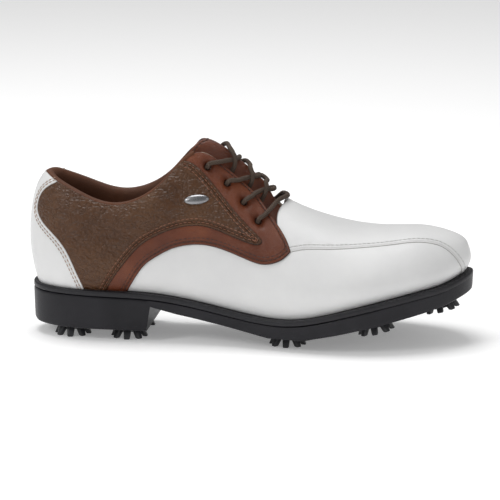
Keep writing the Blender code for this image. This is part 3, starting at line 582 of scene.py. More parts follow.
def circle_on_last(centre, radius, count, tall=None):
    """A circle or an oval on the last, as stations and lines."""
    along, across = stretch([centre[0]], [centre[1]])
    length = np.linalg.norm(along[0])
    shear = along[0] @ across[0] / length
    square = math.sqrt(across[0] @ across[0] - shear ** 2)
    turn = np.arange(count) * 2 * math.pi / count
    lines = (tall or radius) * np.sin(turn) / square
    return np.stack([centre[0] + (radius * np.cos(turn) - lines * shear) / length, centre[1] + lines], 1)


# how far in from the cut edge each ring of points lies
RINGS = [0.2, 0.5, 0.9, 1.5, 2.1, 2.7, 3.6]
RING_SHARE, GROOVE_DEEP, GROOVE_WIDE, FAR_FROM_SEAM = 0.9, 0.22, 0.55, 9.0


def leather(name, outline, heights, shade, holes=(), rows=(), grow=0.0, depth=None, pitch=(0.075, 0.09),
            lip=0.75, puff=0.35, body="shoe"):
    """A lasted leather panel: its flat pattern filled with fine triangles, domed, lipped and closed.

    Rows are (seam, distance) pairs that press a stitch groove beside a seam. The attribute `edge` is the
    distance in millimetres from the panel's cut edge and `seam` the distance from its nearest stitch row.
    """
    border = evenly(moved_in(outline, -grow), SEAM_STEP, closed=True)
    at_toe = border[:, 0] > TOE - 0.04
    border[at_toe, 0] = TOE
    low, high = border.min(0), border.max(0)
    grid = np.stack(np.meshgrid(np.arange(low[0], high[0], pitch[0]), np.arange(low[1], high[1], pitch[1])), 2)
    free = [(by, moved_in(border, by)) for by in RINGS] + [(RINGS[-1] + 0.8, grid.reshape(-1, 2))]
    loops = [border, *holes]
    edge_spots = np.vstack([surface(*loop.T) for loop in [border[~at_toe], *holes]])
    kept = []
    for by, points in free:
        points = points[are_inside(points, border) & (points[:, 0] < TOE - 0.03)]
        for hole in holes:
            points = points[~are_inside(points, hole)]
        kept.append(points[nearest(surface(*points.T), edge_spots) > by * RING_SHARE])
    edges, start = [], 0
    for loop in loops:
        edges += [(start + i, start + (i + 1) % len(loop)) for i in range(len(loop))]
        start += len(loop)
    flat = np.vstack([*loops, *kept])
    flat, _, faces, *_ = delaunay_2d_cdt([Vector(point) for point in flat], edges, [], 0, 1e-6)
    flat = np.array([tuple(point) for point in flat])
    middles = np.array([flat[list(face)].mean(0) for face in faces])
    inner_face = are_inside(middles, border)
    for hole in holes:
        inner_face &= ~are_inside(middles, hole)
    u, v = flat.T
    spots = surface(u, v)
    edge = nearest(spots, edge_spots)
    seam = np.full(len(flat), FAR_FROM_SEAM)
    for line, by in rows:
        seam = np.minimum(seam, nearest(spots, surface(*beside(line, by).T)))
    groove = GROOVE_DEEP * np.exp(-(seam / GROOVE_WIDE) ** 2)
    short = np.clip(lip - edge, 0, lip)
    rounding = lip - np.sqrt(np.maximum(lip ** 2 - short ** 2, 0))
    top = heights[1] + puff * (1 - np.exp(-edge / 3)) - rounding - groove
    base = depth(u, v) if depth else 0.0
    upper, lower = lifted(u, v, base + top), lifted(u, v, base + heights[0])
    shape = bmesh.new()
    number_of = shape.verts.layers.int.new("number")
    edge_of, seam_of = (shape.verts.layers.float.new(label) for label in ("edge", "seam"))
    verts = [shape.verts.new(point) for point in placed(upper)]
    for number, vert in enumerate(verts):
        vert[number_of], vert[edge_of], vert[seam_of] = number, edge[number], seam[number]
    for face, wanted in zip(faces, inner_face):
        if wanted:
            shape.faces.new([verts[i] for i in face])
    bmesh.ops.delete(shape, geom=[vert for vert in shape.verts if not vert.link_faces], context="VERTS")
    bmesh.ops.remove_doubles(shape, verts=shape.verts, dist=0.02 * MM)
    lower = placed(lower)
    bottom = bmesh.ops.extrude_face_region(shape, geom=shape.faces[:], use_keep_orig=True)["geom"]
    for vert in (item for item in bottom if isinstance(item, bmesh.types.BMVert)):
        vert.co = lower[vert[number_of]]
    bmesh.ops.recalc_face_normals(shape, faces=shape.faces)
    return finished(name, shape, shade, body)


def seam_groove_group():
    """Presses a fine line where the thread pulls the leather in, and marks the cut edge."""
    tree, start, end = group_of("sewn_edge", {"Edge width": 0.8}, ["Groove", "Edge mask"])
    seam, edge = (node(tree, "ShaderNodeAttribute", attribute_name=label).outputs["Fac"]
                  for label in ("seam", "edge"))
    groove = span(tree, seam, 0.15, 0.9, 1.0, 0.0, "SMOOTHSTEP")
    mask = span(tree, edge, 0.0, start.outputs["Edge width"], 1.0, 0.0, "SMOOTHSTEP")
    feed(tree, end, {"Groove": groove, "Edge mask": mask})
    return tree


SEWN_EDGE = seam_groove_group()


def hide(name, tones, edge_ink_and_groove_shade, roughness, cells, wrinkle, depth_mm, specular, sewn_in=True):
    """Leather: natural grain, creases, colour that clouds with wear, pressed seams and an inked cut edge. The
    grain's hollows, the creases and the seam grooves are darkened with painted shade.

    Cells is the grain's count to the metre. Only leather() gives a piece the attributes that sewn_in reads.
    """
    shade, tree, shader = new_shade(name)
    place = node(tree, "ShaderNodeTexCoord").outputs["Object"]
    warp = noise(tree, place, 160.0, 2.0)
    bent = node(tree, "ShaderNodeVectorMath", {0: warp.outputs["Color"], 1: (0.0022, 0.0022, 0.0022)},
                operation="MULTIPLY")
    bent = node(tree, "ShaderNodeVectorMath", {0: place, 1: bent.outputs[0]}, operation="ADD").outputs[0]
    pebbles = node(tree, "ShaderNodeTexVoronoi", {"Vector": bent, "Scale": cells}, feature="DISTANCE_TO_EDGE")
    pebble = span(tree, pebbles.outputs["Distance"], 0.0, 0.4, 0.0, 1.0, "SMOOTHERSTEP")
    fine = noise(tree, place, cells * 1.7, 1.0)
    tilt = node(tree, "ShaderNodeMapping", {"Vector": bent, "Rotation": (0.3, 0.6, 0.0),
                                            "Scale": (0.55, 1.0, 1.0)}).outputs[0]
    folds = noise(tree, tilt, 150.0, 2.0, Distortion=1.2)
    ridge = math_node(tree, "ABSOLUTE", math_node(tree, "SUBTRACT", folds.outputs["Fac"], 0.5))
    ridge = span(tree, ridge, 0.0, 0.11, 0.0, 1.0)
    height = math_node(tree, "ADD", pebble, math_node(tree, "MULTIPLY", fine.outputs["Fac"], 0.18))
    height = math_node(tree, "ADD", height, math_node(tree, "MULTIPLY", ridge, wrinkle))
    surface_height = height
    if sewn_in:
        sewn = node(tree, "ShaderNodeGroup", node_tree=SEWN_EDGE)
        pressed = math_node(tree, "MULTIPLY", sewn.outputs["Groove"], 1.6)
        surface_height = math_node(tree, "SUBTRACT", height, pressed)
    cloud = noise(tree, place, 22.0, 5.0, Roughness=0.6)
    tone = ramp(tree, cloud.outputs["Fac"], *[(0.3 + 0.4 * i / (len(tones) - 1), tone)
                                              for i, tone in enumerate(tones)])
    # painted shade: the colour darkens to 0.8 in the grain's hollows and along the creases
    if wrinkle:
        tone = mix_colour(tree, 1.0, tone, span(tree, height, 0.15, 0.9, 0.8, 1.0), "MULTIPLY")
    # painted shade: the stitch grooves are darkened towards the edge ink's colour; the cut edge itself gets
    # real edge ink
    if sewn_in:
        painted_groove_shade = math_node(tree, "MULTIPLY", sewn.outputs["Groove"], 0.35)
        tone = mix_colour(tree, painted_groove_shade, tone, (*edge_ink_and_groove_shade, 1))
        tone = mix_colour(tree, sewn.outputs["Edge mask"], tone, (*edge_ink_and_groove_shade, 1))
    rough = span(tree, cloud.outputs["Fac"], 0.3, 0.7, roughness - 0.05, roughness + 0.07)
    feed(tree, shader, {"Base Color": tone, "Roughness": rough,
                        "Normal": bumped(tree, surface_height, depth_mm), "Specular IOR Level": specular})
    return shade


white_hide = hide("white_hide", [(0.70, 0.70, 0.70), (0.76, 0.76, 0.755)], (0.4, 0.39, 0.38), 0.36, 2100.0,
                  0.0, 0.05, 0.45)
tan_hide = hide("tan_hide", [(0.085, 0.019, 0.006), (0.145, 0.034, 0.010), (0.215, 0.058, 0.019)],
                (0.04, 0.011, 0.006), 0.36, 1300.0, 0.2, 0.12, 0.4)
pebbled_hide = hide("pebbled_hide", [(0.052, 0.0195, 0.0065), (0.078, 0.031, 0.0105), (0.104, 0.045, 0.0165)],
                    (0.022, 0.011, 0.007), 0.38, 340.0, 0.75, 0.4, 0.36)

heel_seam, quarter_front, band_low, facing_front, apron = (
    evenly(curve_through(points, count), SEAM_STEP)
    for points, count in [(HEEL_SEAM, 60), (QUARTER_FRONT, 150), (BAND_LOW, 110), (FACING_FRONT, 70),
                          (APRON_SEAM, 120)])
inner_heel_seam = np.array([(-u, v) for u, v in heel_seam])
throat = curve_through(THROAT, 30)
split = int(np.argmin(np.hypot(*(facing_front - THROAT[0]).T)))
upper_edge = facing_front[split:][::-1]
eyelets = [circle_on_last(centre, EYELET_R, 24) for centre in EYELETS]
saddle = joined(band_low, facing_front[::-1], run((6.68, 3), (5.62, 3), 6), quarter_front,
                run((3.9, FOOT), (4.38, FOOT), 3))
quarter = joined(run((3.36, FOOT), (3.9, FOOT), 3), quarter_front[::-1], run((5.62, 3), (2.12, 3), 12),
                 heel_seam)
vamp_side = joined(run((4.38, FOOT), (12.62, FOOT), 28), apron[::-1], band_low[::-1])
vamp_centre = joined(apron[::-1], upper_edge, throat, mirrored(throat), mirrored(upper_edge),
                     mirrored(apron[::-1]), run((12.62, OVER - FOOT), (TOE, OVER - FOOT), 3),
                     run((TOE, OVER - FOOT), (TOE, FOOT), 20), run((TOE, FOOT), (12.62, FOOT), 3))[::-1]
heel_cover = joined(run((-3.36, FOOT), (3.36, FOOT), 17), heel_seam[::-1], run((2.12, 3), (-2.12, 3), 11),
                    inner_heel_seam)


def both_sides(rows):
    return rows + [(mirrored(line), by) for line, by in rows]


saddle_rows = [(band_low, ROW_NEAR), (band_low, ROW_FAR), (facing_front, -ROW_NEAR)]
quarter_rows = [(quarter_front, -ROW_NEAR), (quarter_front, -ROW_FAR)]
cover_rows = [(line, sign * by) for line, sign in ((heel_seam, -1), (inner_heel_seam, 1))
              for by in (COVER_NEAR, COVER_FAR)]
panels = [("vamp_side", vamp_side, VAMP_TOP, white_hide, "white_leather", [], [], 0.4),
          ("saddle", saddle, SADDLE_TOP, tan_hide, "smooth_brown_leather", eyelets, saddle_rows, 0.4),
          ("quarter", quarter, QUARTER_TOP, pebbled_hide, "pebbled_brown_leather", [], quarter_rows, 0.5)]
for side in ("lateral", "medial"):
    for name, outline, top, shade, slot, holes, rows, grow in panels:
        if side == "medial":
            outline, holes = mirrored(outline), [mirrored(hole) for hole in holes]
            rows = [(mirrored(line), by) for line, by in rows]
        piece = leather(f"{name}_skin_{side}", outline, (INNER, top), shade, holes, rows, grow)
        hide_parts(f"{name}_{side}")
piece = leather("vamp_centre_skin", vamp_centre, (INNER, CENTRE_TOP), white_hide,
                rows=both_sides([(apron, APRON_NEAR), (apron, APRON_FAR)]), grow=0.4, pitch=(0.06, 0.11),
                lip=0.5)
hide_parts("vamp_centre")
piece = leather("heel_cover_skin", heel_cover, (INNER, COVER_TOP), white_hide,
                rows=cover_rows, grow=0.5)
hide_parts("heel_cover")

# The upper is sewn with double rows beside each lap, in thread close to its leather's colour.
dark_thread = thread_shade("dark_brown_thread", (0.028, 0.013, 0.01), (0.05, 0.022, 0.015))
rust_thread = thread_shade("rust_thread", (0.19, 0.07, 0.035), (0.28, 0.115, 0.062))
tan_thread = thread_shade("tan_thread", (0.3, 0.19, 0.13), (0.42, 0.28, 0.2))
pale_thread = thread_shade("pale_thread", (0.55, 0.55, 0.54), (0.68, 0.68, 0.67))
sewing = [("saddle_stitches", dark_thread, both_sides(saddle_rows), SADDLE_TOP + THREAD_RISE),
          ("quarter_stitches", rust_thread, both_sides(quarter_rows), QUARTER_TOP + THREAD_RISE),
          ("apron_stitches", pale_thread, both_sides([(apron, APRON_FAR)]), CENTRE_TOP + THREAD_RISE),
          ("heel_cover_stitches", tan_thread, cover_rows, COVER_TOP + COVER_THREAD_RISE)]
for name, shade, rows, height in sewing:
    threads = bmesh.new()
    for line, by in rows:
        seam_stitches(threads, line, by, height)
    finished(name, threads, shade)

# ================ collar and lining ================
# The quarter is lined with soft red-brown leather, turned over a foam roll round the ankle and sewn down.
lining_hide = hide("lining_hide", [(0.08, 0.025, 0.009), (0.135, 0.045, 0.016)], (0.06, 0.02, 0.012), 0.55,
                   1300.0, 0.2, 0.12, 0.3, sewn_in=False)
COLLAR_END, PAD_END, PAD_GONE = 5.95, 5.0, 5.9
# the collar's section from its outer edge over the roll and down the inside: (line, height over the last)
COLLAR_SECTION = [(2.975, 0.0), (2.995, 0.7), (3.02, 0.9), (3.05, 0.3), (3.07, -1.2), (3.06, -3.0),
                  (3.0, -5.0), (2.86, -6.8), (2.66, -7.9), (2.44, -8.0), (2.24, -7.1), (2.1, -5.9),
                  (1.9, -5.3), (1.4, -5.0), (0.8, -4.9), (0.12, -4.9)]


def collar_place(around, across):
    """The collar from one facing round the heel to the other, its roll thinning towards both ends."""
    station = (around * 2 - 1) * COLLAR_END
    number = across * (len(COLLAR_SECTION) - 1)
    line, height = on_spline(COLLAR_SECTION, number).T
    padded = 1 - ease(PAD_END, PAD_GONE, np.abs(station))
    thin = np.interp(number, [0, 4, 6, 15], [0, 0, -3.4, -4.2])
    height = np.where(number > 4, thin + (height - thin) * np.maximum(padded, 0.15), height)
    return lifted(station, line, height)


collar_shape = laid_grid(230, 44, collar_place)
bmesh.ops.reverse_faces(collar_shape, faces=collar_shape.faces)
collar = finished("collar_lining", collar_shape, lining_hide)
wall = collar.modifiers.new("thickness", "SOLIDIFY")
wall.thickness, wall.offset = 0.9 * MM, -1.0
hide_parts("quarter_lining")

# ================ facing edges ================
# The lining's pale raw edge shows as a thin line along the inner edge of each facing.
pale_edge = grained("pale_edge", (0.42, 0.35, 0.25), (0.6, 0.52, 0.4), 0.7, 0.5, 0.05)
EDGE_HEIGHT, EDGE_RADIUS = -0.9, 0.55
facing_line = joined(run((5.75, 3), (6.68, 3), 12), facing_front[:split + 1])
for side, line, nudge in (("lateral", facing_line, 0.02), ("medial", mirrored(facing_line)[::-1], -0.02)):
    u, v = evenly(line, 1.5)[6:-3].T
    middle = lifted(u, v + nudge, EDGE_HEIGHT)
    out = lifted(u, v, 1.0) - surface(u, v)
    aside = np.cross(unit(np.gradient(middle, axis=0)), out)

    def edge_place(share, turn):
        """A bead round the line, closed to a point at both ends."""
        number = np.rint(share * (len(middle) - 1)).astype(int)
        angle = turn * 2 * math.pi
        thick = np.where((number == 0) | (number == len(middle) - 1), 0.0, EDGE_RADIUS)[:, None]
        return middle[number] + thick * (out[number] * np.cos(angle)[:, None] * 1.3
                                         + aside[number] * np.sin(angle)[:, None])

    finished("facing_edge_" + side, laid_grid(len(middle) - 1, 8, edge_place, closed=True), pale_edge)

# ================ sockliner ================
# A foam footbed covered in brown cloth, laid loose on the insole board.
sock_cloth = grained("sock_cloth", (0.075, 0.038, 0.026), (0.11, 0.06, 0.042), 0.8, 0.7, 0.12)
CUSHION_LOW, CUSHION = 2.6, 3.6
sock_levels = [(-2.0, 0.0), (-0.9, 0.06), (-0.25, 0.22), (0.0, 0.5), (0.0, 1.0)]
sock_shape = layered_plate(sole_outline(-5.8, 140), sock_levels, lambda x: welt_top(x) + CUSHION_LOW + CUSHION,
                           lambda x: welt_top(x) + CUSHION_LOW, 9)
footbed = finished("footbed", sock_shape, sock_cloth, crisp=60)
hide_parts("sockliner")

# ================ tongue ================
# A smooth red-brown cover over foam, lined underneath and sewn in at the throat, where it folds.


def tongue_height(u, v):
    """The tongue's depth under the last: least along the crest, and sunk where the throat covers it."""
    aside = (np.asarray(v, float) - CREST_LINE) ** 2
    beside_crest = aside / (1 + aside ** 4) ** 0.25
    return -1.0 - 7.3 * np.maximum(beside_crest, ease(7.5, 8.1, u))


TONGUE_ROW, TONGUE_THREAD_RISE = 3.4, 0.55
tongue_half = curve_through([(6.0, 4.0), (5.78, 3.62), (5.5, 3.25), (5.28, 2.95), (5.5, 2.75), (6.0, 2.66),
                             (6.7, 2.62), (7.4, 2.6), (8.0, 2.62), (8.4, 2.9), (8.54, 3.4), (8.58, 4.0)], 90)
tongue_outline = joined(tongue_half, mirrored(tongue_half))
tongue_edge = evenly(tongue_half[:60], SEAM_STEP)
tongue_rows = both_sides([(tongue_edge, TONGUE_ROW)])
tongue_cover = leather("tongue_cover", tongue_outline, (-2.3, 0.0), tan_hide,
                       rows=tongue_rows, depth=tongue_height, pitch=(0.07, 0.08), lip=1.3, puff=0.8,
                       body="tongue")
tongue_back = leather("tongue_back", tongue_outline, (-6.0, -2.5), lining_hide,
                      depth=tongue_height, pitch=(0.1, 0.1), lip=1.0, puff=0.0, body="tongue")
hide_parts("tongue_outer", "tongue_pad")
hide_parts("tongue_lining")
cross_row = evenly(curve_through([(6.02, 3.05), (6.06, 3.5), (6.08, 4.0), (6.06, 4.5), (6.02, 4.95)], 40),
                   SEAM_STEP)
patch_row = evenly(circle_on_last((6.42, 4.0), 4.2, 40, tall=9.0), 1.0, closed=True)
threads = bmesh.new()
for line, by in [*tongue_rows, (cross_row, 0.0), (patch_row, 0.0)]:
    seam_stitches(threads, line, by, TONGUE_THREAD_RISE, tongue_height)
finished("tongue_stitches", threads, dark_thread, body="tongue")

# ================ lace ================
# A round braided lace, 3 mm thick, threaded through four pairs of eyelets. Its two ends, with their aglets,
# are tucked down inside the shoe.
FACING_OUTSIDE, FACING_INSIDE, LACE_R, FIT = 0.9, -2.8, 1.5, 0.3
OVER_FACING = FACING_OUTSIDE + LACE_R + FIT + 0.1
UNDER_FACING = FACING_INSIDE - LACE_R - FIT - 0.2
LOW_CROSSING = -1.0 + LACE_R + FIT + 0.3
HIGH_CROSSING = LOW_CROSSING + 2 * LACE_R + 0.5
LACE_POINTS, LACE_SIDES, PLAIT_TURNS = 1300, 14, 3


def strand(row, from_medial):
    """One strand: out of an eyelet, over its facing, across the tongue and under the other facing.

    The strand that starts on the medial side lies on top where the two cross, near the lateral facing.
    """
    u0, v0 = EYELETS[row]
    u1, v1 = EYELETS[row + 1]
    lean = ((u1 - u0) / (EYELETS[1][0] - EYELETS[0][0])) ** 0.6
    points = [(u0, v0, UNDER_FACING), (u0, v0, -2.4), (u0, v0, 0.9), (u0 + 0.05, v0 + 0.05, OVER_FACING)]
    if from_medial:
        over = [(0.17, 3.08, OVER_FACING + 0.1), (0.26, 3.5, 2.5), (0.32, 4.0, LOW_CROSSING + 0.6),
                (0.38, 4.34, 3.4), (0.47, 4.5, HIGH_CROSSING), (0.58, 4.6, HIGH_CROSSING - 0.5),
                (0.67, 4.72, 0.8), (0.7, 4.83, -2.9), (0.68, 5.02, UNDER_FACING)]
    else:
        over = [(0.31, v0 + 0.21, OVER_FACING + 0.1), (0.46, v0 + 0.39, OVER_FACING - 0.2),
                (0.57, 3.4, LOW_CROSSING), (0.61, 3.75, LOW_CROSSING), (0.61, 4.3, LOW_CROSSING - 0.5),
                (0.62, 4.62, -1.6), (0.63, 4.83, -3.3), (0.6, 5.02, UNDER_FACING)]
    points += [(u0 + along * lean, v, h) for along, v, h in over]
    points.append((u1 - 0.02, OVER - v1 - 0.08, UNDER_FACING - 0.1))
    if from_medial:
        points = [(u, OVER - v, h) for u, v, h in points]
    return points


def lace_route():
    """One strand down to the bar across the lowest eyelets and the other back up: (station, line, height)."""
    bar = [(7.66, 5.52, -2.4), (7.66, 5.52, 0.9), (7.7, 5.48, OVER_FACING), (7.84, 5.37, OVER_FACING + 0.1),
           (8.02, 5.14, OVER_FACING + 0.1), (8.1, 4.75, 2.6), (8.06, 4.38, 2.2), (8.03, 4.0, 2.1),
           (8.06, 3.62, 2.2), (8.1, 3.25, 2.6), (8.02, 2.86, OVER_FACING + 0.1),
           (7.84, 2.63, OVER_FACING + 0.1), (7.7, 2.52, OVER_FACING), (7.66, 2.48, 0.9),
           (7.66, 2.48, -2.4)]
    tail = [(6.62, 1.6, -9.2), (6.58, 1.9, -8.2), (6.5, 2.2, -7.0), (6.4, 2.5, -5.7)]
    first = tail + strand(0, False) + strand(1, True) + strand(2, False)
    second = [(u, OVER - v, h) for u, v, h in tail] + strand(0, True) + strand(1, False) + strand(2, True)
    return np.array(first + bar + second[::-1])


def smooth_path(points, count):
    """A smooth curve through points whose spacing varies."""
    lengths = np.concatenate([[0], np.cumsum(np.linalg.norm(np.diff(points, axis=0), axis=1) ** 0.5)])
    where = np.interp(np.linspace(0, lengths[-1], count), lengths, np.arange(len(points)))
    padded = np.vstack([points[0], points, points[-1]])
    cell = np.minimum(where.astype(int), len(points) - 2)
    part = (where - cell)[:, None]
    p0, p1, p2, p3 = (padded[cell + i] for i in range(4))
    return 0.5 * (2 * p1 + (p2 - p0) * part + (2 * p0 - 5 * p1 + 4 * p2 - p3) * part ** 2
                  + (3 * p1 - p0 - 3 * p2 + p3) * part ** 3)


def side_ways(path):
    """Two directions square to the path at each point, carried along it without twisting."""
    along = unit(np.gradient(path, axis=0))
    side = np.zeros_like(path)
    first = np.cross(along[0], (0.0, 1.0, 0.2))
    for number, way in enumerate(along):
        first = first - way * (first @ way)
        first /= np.linalg.norm(first)
        side[number] = first
    return side, np.cross(along, side)


lace_path = smooth_path(lifted(*lace_route().T), LACE_POINTS)
lace_side, lace_up = side_ways(lace_path)
lace_length = float(np.sum(np.linalg.norm(np.diff(lace_path, axis=0), axis=1)))


def lace_shape():
    """The braid as a tube that swells and narrows a little with its plait."""
    columns, rows = LACE_POINTS - 1, LACE_SIDES
    shape = bmesh.new()
    shape.loops.layers.uv.new("braid")
    bmesh.ops.create_grid(shape, x_segments=columns, y_segments=rows, size=0.5, calc_uvs=True)
    for vert in shape.verts:
        number = int(round((vert.co.x + 0.5) * columns))
        turn = (vert.co.y + 0.5) * 2 * math.pi
        plait = math.sin(number * 0.9 + turn * PLAIT_TURNS) * math.sin(number * 0.9 - turn * PLAIT_TURNS)
        radius = LACE_R * (1.06 + 0.05 * plait)
        if number in (0, columns):
            radius *= 0.5
        vert.co = placed(lace_path[number] + radius * (lace_side[number] * math.cos(turn)
                                                       + lace_up[number] * math.sin(turn)))
    bmesh.ops.remove_doubles(shape, verts=shape.verts, dist=0.004 * MM)
    bmesh.ops.holes_fill(shape, edges=[edge for edge in shape.edges if edge.is_boundary], sides=rows + 1)
    bmesh.ops.recalc_face_normals(shape, faces=shape.faces)
    return shape


def braid_shade():
    """Two sets of fine strands that cross over and under each other round the lace, with painted shade where
    they dive under and painted light on their crowns.
    """
    shade, tree, shader = new_shade("braided_cord")
    uv = node(tree, "ShaderNodeUVMap", uv_map="braid").outputs[0]
    parts = node(tree, "ShaderNodeSeparateXYZ", {"Vector": uv})
    along = math_node(tree, "MULTIPLY", parts.outputs["X"], lace_length / 1.5)
    around = math_node(tree, "MULTIPLY", parts.outputs["Y"], 6.0)
    rising, falling = math_node(tree, "ADD", around, along), math_node(tree, "SUBTRACT", around, along)
    parity = math_node(tree, "ADD", math_node(tree, "FLOOR", rising), math_node(tree, "FLOOR", falling))
    odd = math_node(tree, "ABSOLUTE", math_node(tree, "MODULO", parity, 2.0))
    plaits = []
    for share in (rising, falling):
        part = math_node(tree, "FRACT", share)
        plaits.append(math_node(tree, "SINE", math_node(tree, "MULTIPLY", part, math.pi)))
    height = node(tree, "ShaderNodeMix", {"Factor": odd, 2: plaits[0], 3: plaits[1]}).outputs[0]
    place = node(tree, "ShaderNodeTexCoord").outputs["Object"]
    fibres = noise(tree, place, 2600.0, 2.0)
    fuzzy = math_node(tree, "ADD", height, math_node(tree, "MULTIPLY", fibres.outputs["Fac"], 0.5))
    # painted shade and light: the strands are dark in the hollows where they dive under and light on their
    # crowns
    tone = ramp(tree, height, (0.0, (0.022, 0.014, 0.01)), (0.75, (0.085, 0.058, 0.042)),
                (1.0, (0.125, 0.088, 0.066)))
    fleck = span(tree, fibres.outputs["Fac"], 0.3, 0.7, 0.7, 1.15)
    feed(tree, shader, {"Base Color": mix_colour(tree, 1.0, tone, fleck, "MULTIPLY"),
                        "Normal": bumped(tree, fuzzy, 0.22), "Roughness": 0.75, "Specular IOR Level": 0.3})
    return shade


lace = finished("lace_braid", lace_shape(), braid_shade())
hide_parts("lace")

# ================ stud ================
# A plain oval stud of dull cast metal, riveted to the outer quarter.
pewter = grained("pewter", (0.16, 0.16, 0.17), (0.3, 0.3, 0.31), 0.3, 1.2, 0.02, Metallic=1.0)
STUD_SPOT = (np.array([6.0]), np.array([2.26]))
STUD_HALF = (8.5, 3.4, 1.9)   # half its length, width and thickness


def stud_shape():
    """A flattened oval dome, half sunk in the quarter and turned to lie along it."""
    shape = bmesh.new()
    bmesh.ops.create_uvsphere(shape, u_segments=64, v_segments=32, radius=1.0)
    along, across = (Vector(way[0]) for way in stretch(*STUD_SPOT))
    normal = along.cross(across).normalized()
    along.normalize()
    seat = placed(lifted(*STUD_SPOT, QUARTER_TOP + 0.1))[0]
    axes = [way * half * MM for way, half in zip((along, normal.cross(along), normal), STUD_HALF)]
    for vert in shape.verts:
        x, y, z = vert.co
        vert.co = Vector(seat) + axes[0] * x + axes[1] * y + axes[2] * z
    return shape


stud = finished("oval_stud", stud_shape(), pewter)
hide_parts("stud")

# ================ cleats ================
# Nine soft plastic cleats twist into sockets in the outsole. Each has a domed hub and eight splayed legs.
cleat_plastic = grained("cleat_plastic", (0.014, 0.014, 0.016), (0.026, 0.026, 0.03), 0.34, 0.5, 0.02)
STEM_R, STEM_LONG, FLANGE_R, LEGS = 5.0, 4.0, 9.5, 8
HUB = [(0, STEM_LONG), (STEM_R - 0.5, STEM_LONG), (STEM_R, STEM_LONG - 0.5), (STEM_R, -FIT),
       (FLANGE_R - 0.3, -FIT), (FLANGE_R, -0.6), (FLANGE_R, -1.3), (FLANGE_R - 0.5, -1.9),
       (FLANGE_R - 2.0, -2.9), (5.6, -3.7), (4.6, -3.9), (4.2, -3.4), (3.4, -3.2), (2.2, -3.3), (0, -3.5)]
# a leg's two ends: distance from the axis, thickness, width and height
TIP, ROOT = (11.2, 3.3, 4.1, -CLEAT_DROP), (7.6, 4.8, 5.2, -1.1)


def build_cleat():
    shape = bmesh.new()
    profile = [shape.verts.new((radius * MM, 0, height * MM)) for radius, height in HUB]
    edges = [shape.edges.new(pair) for pair in zip(profile, profile[1:])]
    bmesh.ops.spin(shape, geom=profile + edges, cent=(0, 0, 0), axis=(0, 0, 1), angle=2 * math.pi, steps=40,
                   use_merge=True)
    bmesh.ops.remove_doubles(shape, verts=shape.verts, dist=0.01 * MM)
    bmesh.ops.recalc_face_normals(shape, faces=shape.faces)
    for number in range(LEGS):
        leg = bmesh.ops.create_cube(shape, size=1)["verts"]
        for vert in leg:
            centre, thick, wide, height = TIP if vert.co.z < 0 else ROOT
            vert.co = Vector((centre + vert.co.x * thick, vert.co.y * wide, height)) * MM
        edges = list({edge for vert in leg for edge in vert.link_edges})
        rounded = bmesh.ops.bevel(shape, geom=edges, offset=0.8 * MM, offset_type="OFFSET", segments=3,
                                  profile=0.5, affect="EDGES", material=-1, clamp_overlap=True)["verts"]
        turn = Matrix.Rotation(2 * math.pi * number / LEGS, 3, "Z")
        bmesh.ops.rotate(shape, verts=rounded, cent=(0, 0, 0), matrix=turn)
    return shape


for number, (x, y) in enumerate(CLEATS, 1):
    shape = build_cleat()
    bmesh.ops.transform(shape, matrix=cleat_frame(x, y), verts=shape.verts)
    cleat = finished(f"soft_cleat_{number}", shape, cleat_plastic, f"cleat_{number}", 45)
    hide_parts(f"cleat_{number}")

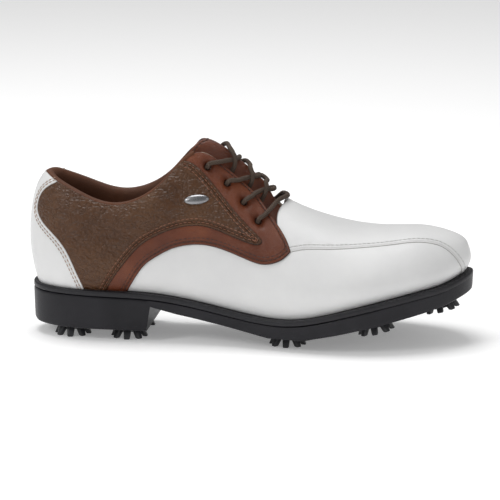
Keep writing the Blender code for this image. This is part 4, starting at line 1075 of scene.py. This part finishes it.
# ================ hidden layers ================
# Board, counter, puff, shank, foam, sockets and front lining keep their shapes and take their finishes.
board_fibre = grained("board_fibre", (0.42, 0.34, 0.24), (0.6, 0.5, 0.37), 0.85, 1.5, 0.1)
cork_filler = grained("cork_filler", (0.22, 0.14, 0.08), (0.42, 0.29, 0.18), 0.9, 2.5, 0.25)
pale_foam = grained("pale_foam", (0.45, 0.44, 0.42), (0.6, 0.59, 0.56), 0.9, 1.0, 0.15)
shank_steel = grained("shank_steel", (0.3, 0.3, 0.31), (0.42, 0.42, 0.43), 0.35, 0.8, 0.01, Metallic=1.0)
socket_plastic = grained("socket_plastic", (0.03, 0.03, 0.034), (0.05, 0.05, 0.055), 0.45, 0.8, 0.02)
aglet_plastic = grained("aglet_plastic", (0.04, 0.026, 0.02), (0.06, 0.04, 0.03), 0.3, 0.6, 0.01)
finishes = {"midsole": cork_filler, "shank": shank_steel, "insole_board": board_fibre,
            "counter_stiffener": board_fibre, "toe_puff": board_fibre, "collar_pad": pale_foam,
            "vamp_lining": lining_hide, "eyelet_stay_lateral": lining_hide,
            "eyelet_stay_medial": lining_hide, "aglet_1": aglet_plastic, "aglet_2": aglet_plastic}
finishes.update({f"cleat_socket_{number}": socket_plastic for number in range(1, len(CLEATS) + 1)})
for name, shade in finishes.items():
    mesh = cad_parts[name].data
    mesh.materials.clear()
    mesh.materials.append(shade)

# ================ studio ================
# A pale floor under wide soft lights, seen from the outer side and a little above.
floor_shape = bmesh.new()
bmesh.ops.create_grid(floor_shape, x_segments=2, y_segments=2, size=6.0)
floor = linked("floor", mesh_of("floor", floor_shape))
paper, paper_tree, paper_shader = new_shade("pale_paper")
feed(paper_tree, paper_shader, {"Base Color": (0.93, 0.93, 0.93, 1), "Roughness": 0.9,
                                "Emission Color": (1, 1, 1, 1), "Emission Strength": 0.22})
floor.data.materials.append(paper)

TARGET = Vector((-0.00065, 0.0001, 0.059))


def area_light(name, spot, size, power):
    light = bpy.data.lights.new(name, "AREA")
    light.shape, light.size, light.energy = "DISK", size, power
    lamp = linked(name, light)
    lamp.location = spot
    lamp.rotation_euler = (TARGET - Vector(spot)).to_track_quat("-Z", "Y").to_euler()


area_light("top_light", (-0.25, 0.3, 1.6), 1.1, 17)
area_light("front_left_light", (-1.3, -1.2, 1.2), 0.7, 10)
area_light("front_right_light", (1.4, -1.1, 0.7), 1.0, 3.5)
world = bpy.data.worlds.new("studio")
bpy.context.scene.world = world
world.use_nodes = True
feed(world.node_tree, world.node_tree.nodes["Background"], {"Color": (1, 1, 1, 1), "Strength": 0.36})

AZIMUTH, ELEVATION, DISTANCE = math.radians(7.5), math.radians(12.4), 2.0
camera_data = bpy.data.cameras.new("camera")
camera_data.sensor_width = 36.0
camera_data.lens = 209.2
camera = linked("camera", camera_data)
way = Vector((math.sin(AZIMUTH) * math.cos(ELEVATION), -math.cos(AZIMUTH) * math.cos(ELEVATION),
              math.sin(ELEVATION)))
camera.location = TARGET + way * DISTANCE
camera.rotation_euler = (-way).to_track_quat("-Z", "Y").to_euler()
bpy.context.scene.camera = camera
bpy.context.scene.view_settings.view_transform = "Standard"
